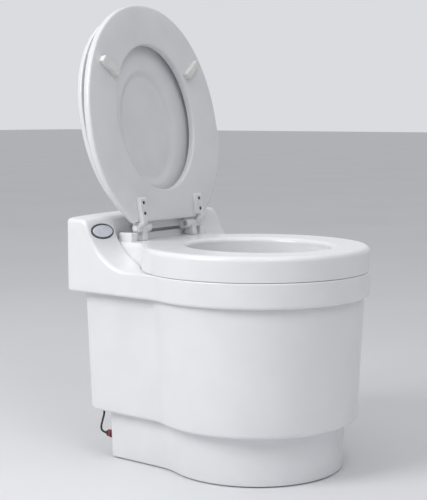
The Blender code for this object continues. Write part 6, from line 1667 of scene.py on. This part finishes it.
@dataclass
class Studio:
    """Pale floor, soft lamps and the camera at the photograph's angle.

    The camera's sizes are in millimetres, those of the floor and the lamps in metres.
    """

    azimuth: float = -0.905946649
    elevation: float = 0.10958254
    distance: float = 2086.37964
    sideways: float = -71.7351322
    target_height: float = 373.563266
    sensor: float = 36.0
    lens: float = sensor * 1213.39992 / 500
    floor_half: float = 40.0
    ambient: float = 0.33
    key_watts: float = 39.0
    side_watts: float = 15.0
    fill_watts: float = 0.5
    top_strength: float = 0.7
    top_spread: float = math.radians(70)
    aim: Triple = (0.0, 0.0, 0.4)

    def camera(self) -> None:
        """Put the camera at eye = target + right sideways - forward distance."""
        a, e = self.azimuth, self.elevation
        forward = np.array([-math.sin(a) * math.cos(e), math.cos(a) * math.cos(e), -math.sin(e)])
        right = np.array([math.cos(a), math.sin(a), 0.0])
        up = np.cross(right, forward)
        eye = np.array([0.0, 0.0, self.target_height]) + right * self.sideways - forward * self.distance
        eye = (eye + BOWL_PLACE) * MM
        lens = bpy.data.cameras.new("camera")
        lens.sensor_width = self.sensor
        lens.lens = self.lens
        holder = bpy.data.objects.new("camera", lens)
        columns = np.stack([right, up, -forward], axis=1)
        holder.matrix_world = Matrix.Translation(Vector(eye)) @ Matrix(columns.tolist()).to_4x4()
        bpy.context.scene.collection.objects.link(holder)
        bpy.context.scene.camera = holder

    def lamp(self, name: str, place: Triple, size: float, watts: float) -> None:
        """A square soft lamp that looks at the toilet's middle.

        Args:
            name: Its name.
            place: Where it hangs, in metres.
            size: Its side in metres.
            watts: Its power.
        """
        light = bpy.data.lights.new(name, "AREA")
        light.size = size
        light.energy = watts
        holder = bpy.data.objects.new(name, light)
        toward = Vector(self.aim) - Vector(place)
        turn = toward.to_track_quat("-Z", "Y").to_matrix().to_4x4()
        holder.matrix_world = Matrix.Translation(place) @ turn
        bpy.context.scene.collection.objects.link(holder)

    def overhead(self) -> None:
        """A wide soft light from straight above, as even on the far floor as on the near one."""
        light = bpy.data.lights.new("overhead", "SUN")
        light.angle = self.top_spread
        light.energy = self.top_strength
        bpy.context.scene.collection.objects.link(bpy.data.objects.new("overhead", light))

    def sky(self) -> None:
        """Soft light all round, and a pale background for the camera, in mirrors and through films."""
        world = bpy.data.worlds.new("studio")
        world.use_nodes = True
        bpy.context.scene.world = world
        tree = world.node_tree
        tree.nodes.clear()
        path = add(tree, "ShaderNodeLightPath")
        seen = add(tree, "ShaderNodeMath", {"operation": "MAXIMUM"},
                   {0: path.outputs["Is Camera Ray"], 1: path.outputs["Is Glossy Ray"]})
        seen = add(tree, "ShaderNodeMath", {"operation": "MAXIMUM"},
                   {0: seen.outputs[0], 1: path.outputs["Is Transmission Ray"]})
        soft = add(tree, "ShaderNodeBackground", links={"Color": linear("#F4F6FA"), "Strength": self.ambient})
        pale = add(tree, "ShaderNodeBackground", links={"Color": linear("#DADCDF"), "Strength": 1.0})
        mix = add(tree, "ShaderNodeMixShader",
                  links={0: seen.outputs[0], 1: soft.outputs[0], 2: pale.outputs[0]})
        add(tree, "ShaderNodeOutputWorld", links={"Surface": mix.outputs[0]})

    def floor(self) -> None:
        """A large pale floor, with a faint slow drift in its colour."""
        half = self.floor_half
        mesh = bpy.data.meshes.new("studio_floor")
        mesh.from_pydata([(-half, -half, 0), (half, -half, 0), (half, half, 0), (-half, half, 0)], [],
                         [(0, 1, 2, 3)])
        plane = bpy.data.objects.new("studio_floor", mesh)
        bpy.context.scene.collection.objects.link(plane)
        paper = Finish("pale_backdrop_paper", "#E2E3E5", "#DFE0E3", Grain.SPARK, 30.0, 0.05, (0.8, 0.9),
                       drift_mm=900.0)
        mesh.materials.append(paper.material())

    def build(self) -> None:
        """Make the camera, the lamps, the sky and the floor."""
        self.camera()
        self.lamp("key", (-2.1, 0.7, 2.0), 1.2, self.key_watts)
        self.lamp("side", (-0.9, -1.7, 2.7), 1.2, self.side_watts)
        self.lamp("fill", (0.9, -2.4, 1.6), 2.0, self.fill_watts)
        self.overhead()
        self.sky()
        self.floor()
        bpy.context.scene.view_settings.view_transform = "Standard"


def main() -> None:
    """Build the studio and every sub-assembly."""
    logging.basicConfig(level=logging.INFO, format="%(name)s %(message)s")
    Studio().build()
    PowerLead().build()
    button = FlushButton()
    Base().build()
    Tub().build()
    Collar().build(button)
    button.build()
    RimCover().build()
    HingePosts().build()
    Seat().build()
    Lid().build()
    Liner().build()
    Works().dress()


if __name__ == "__main__":
    main()
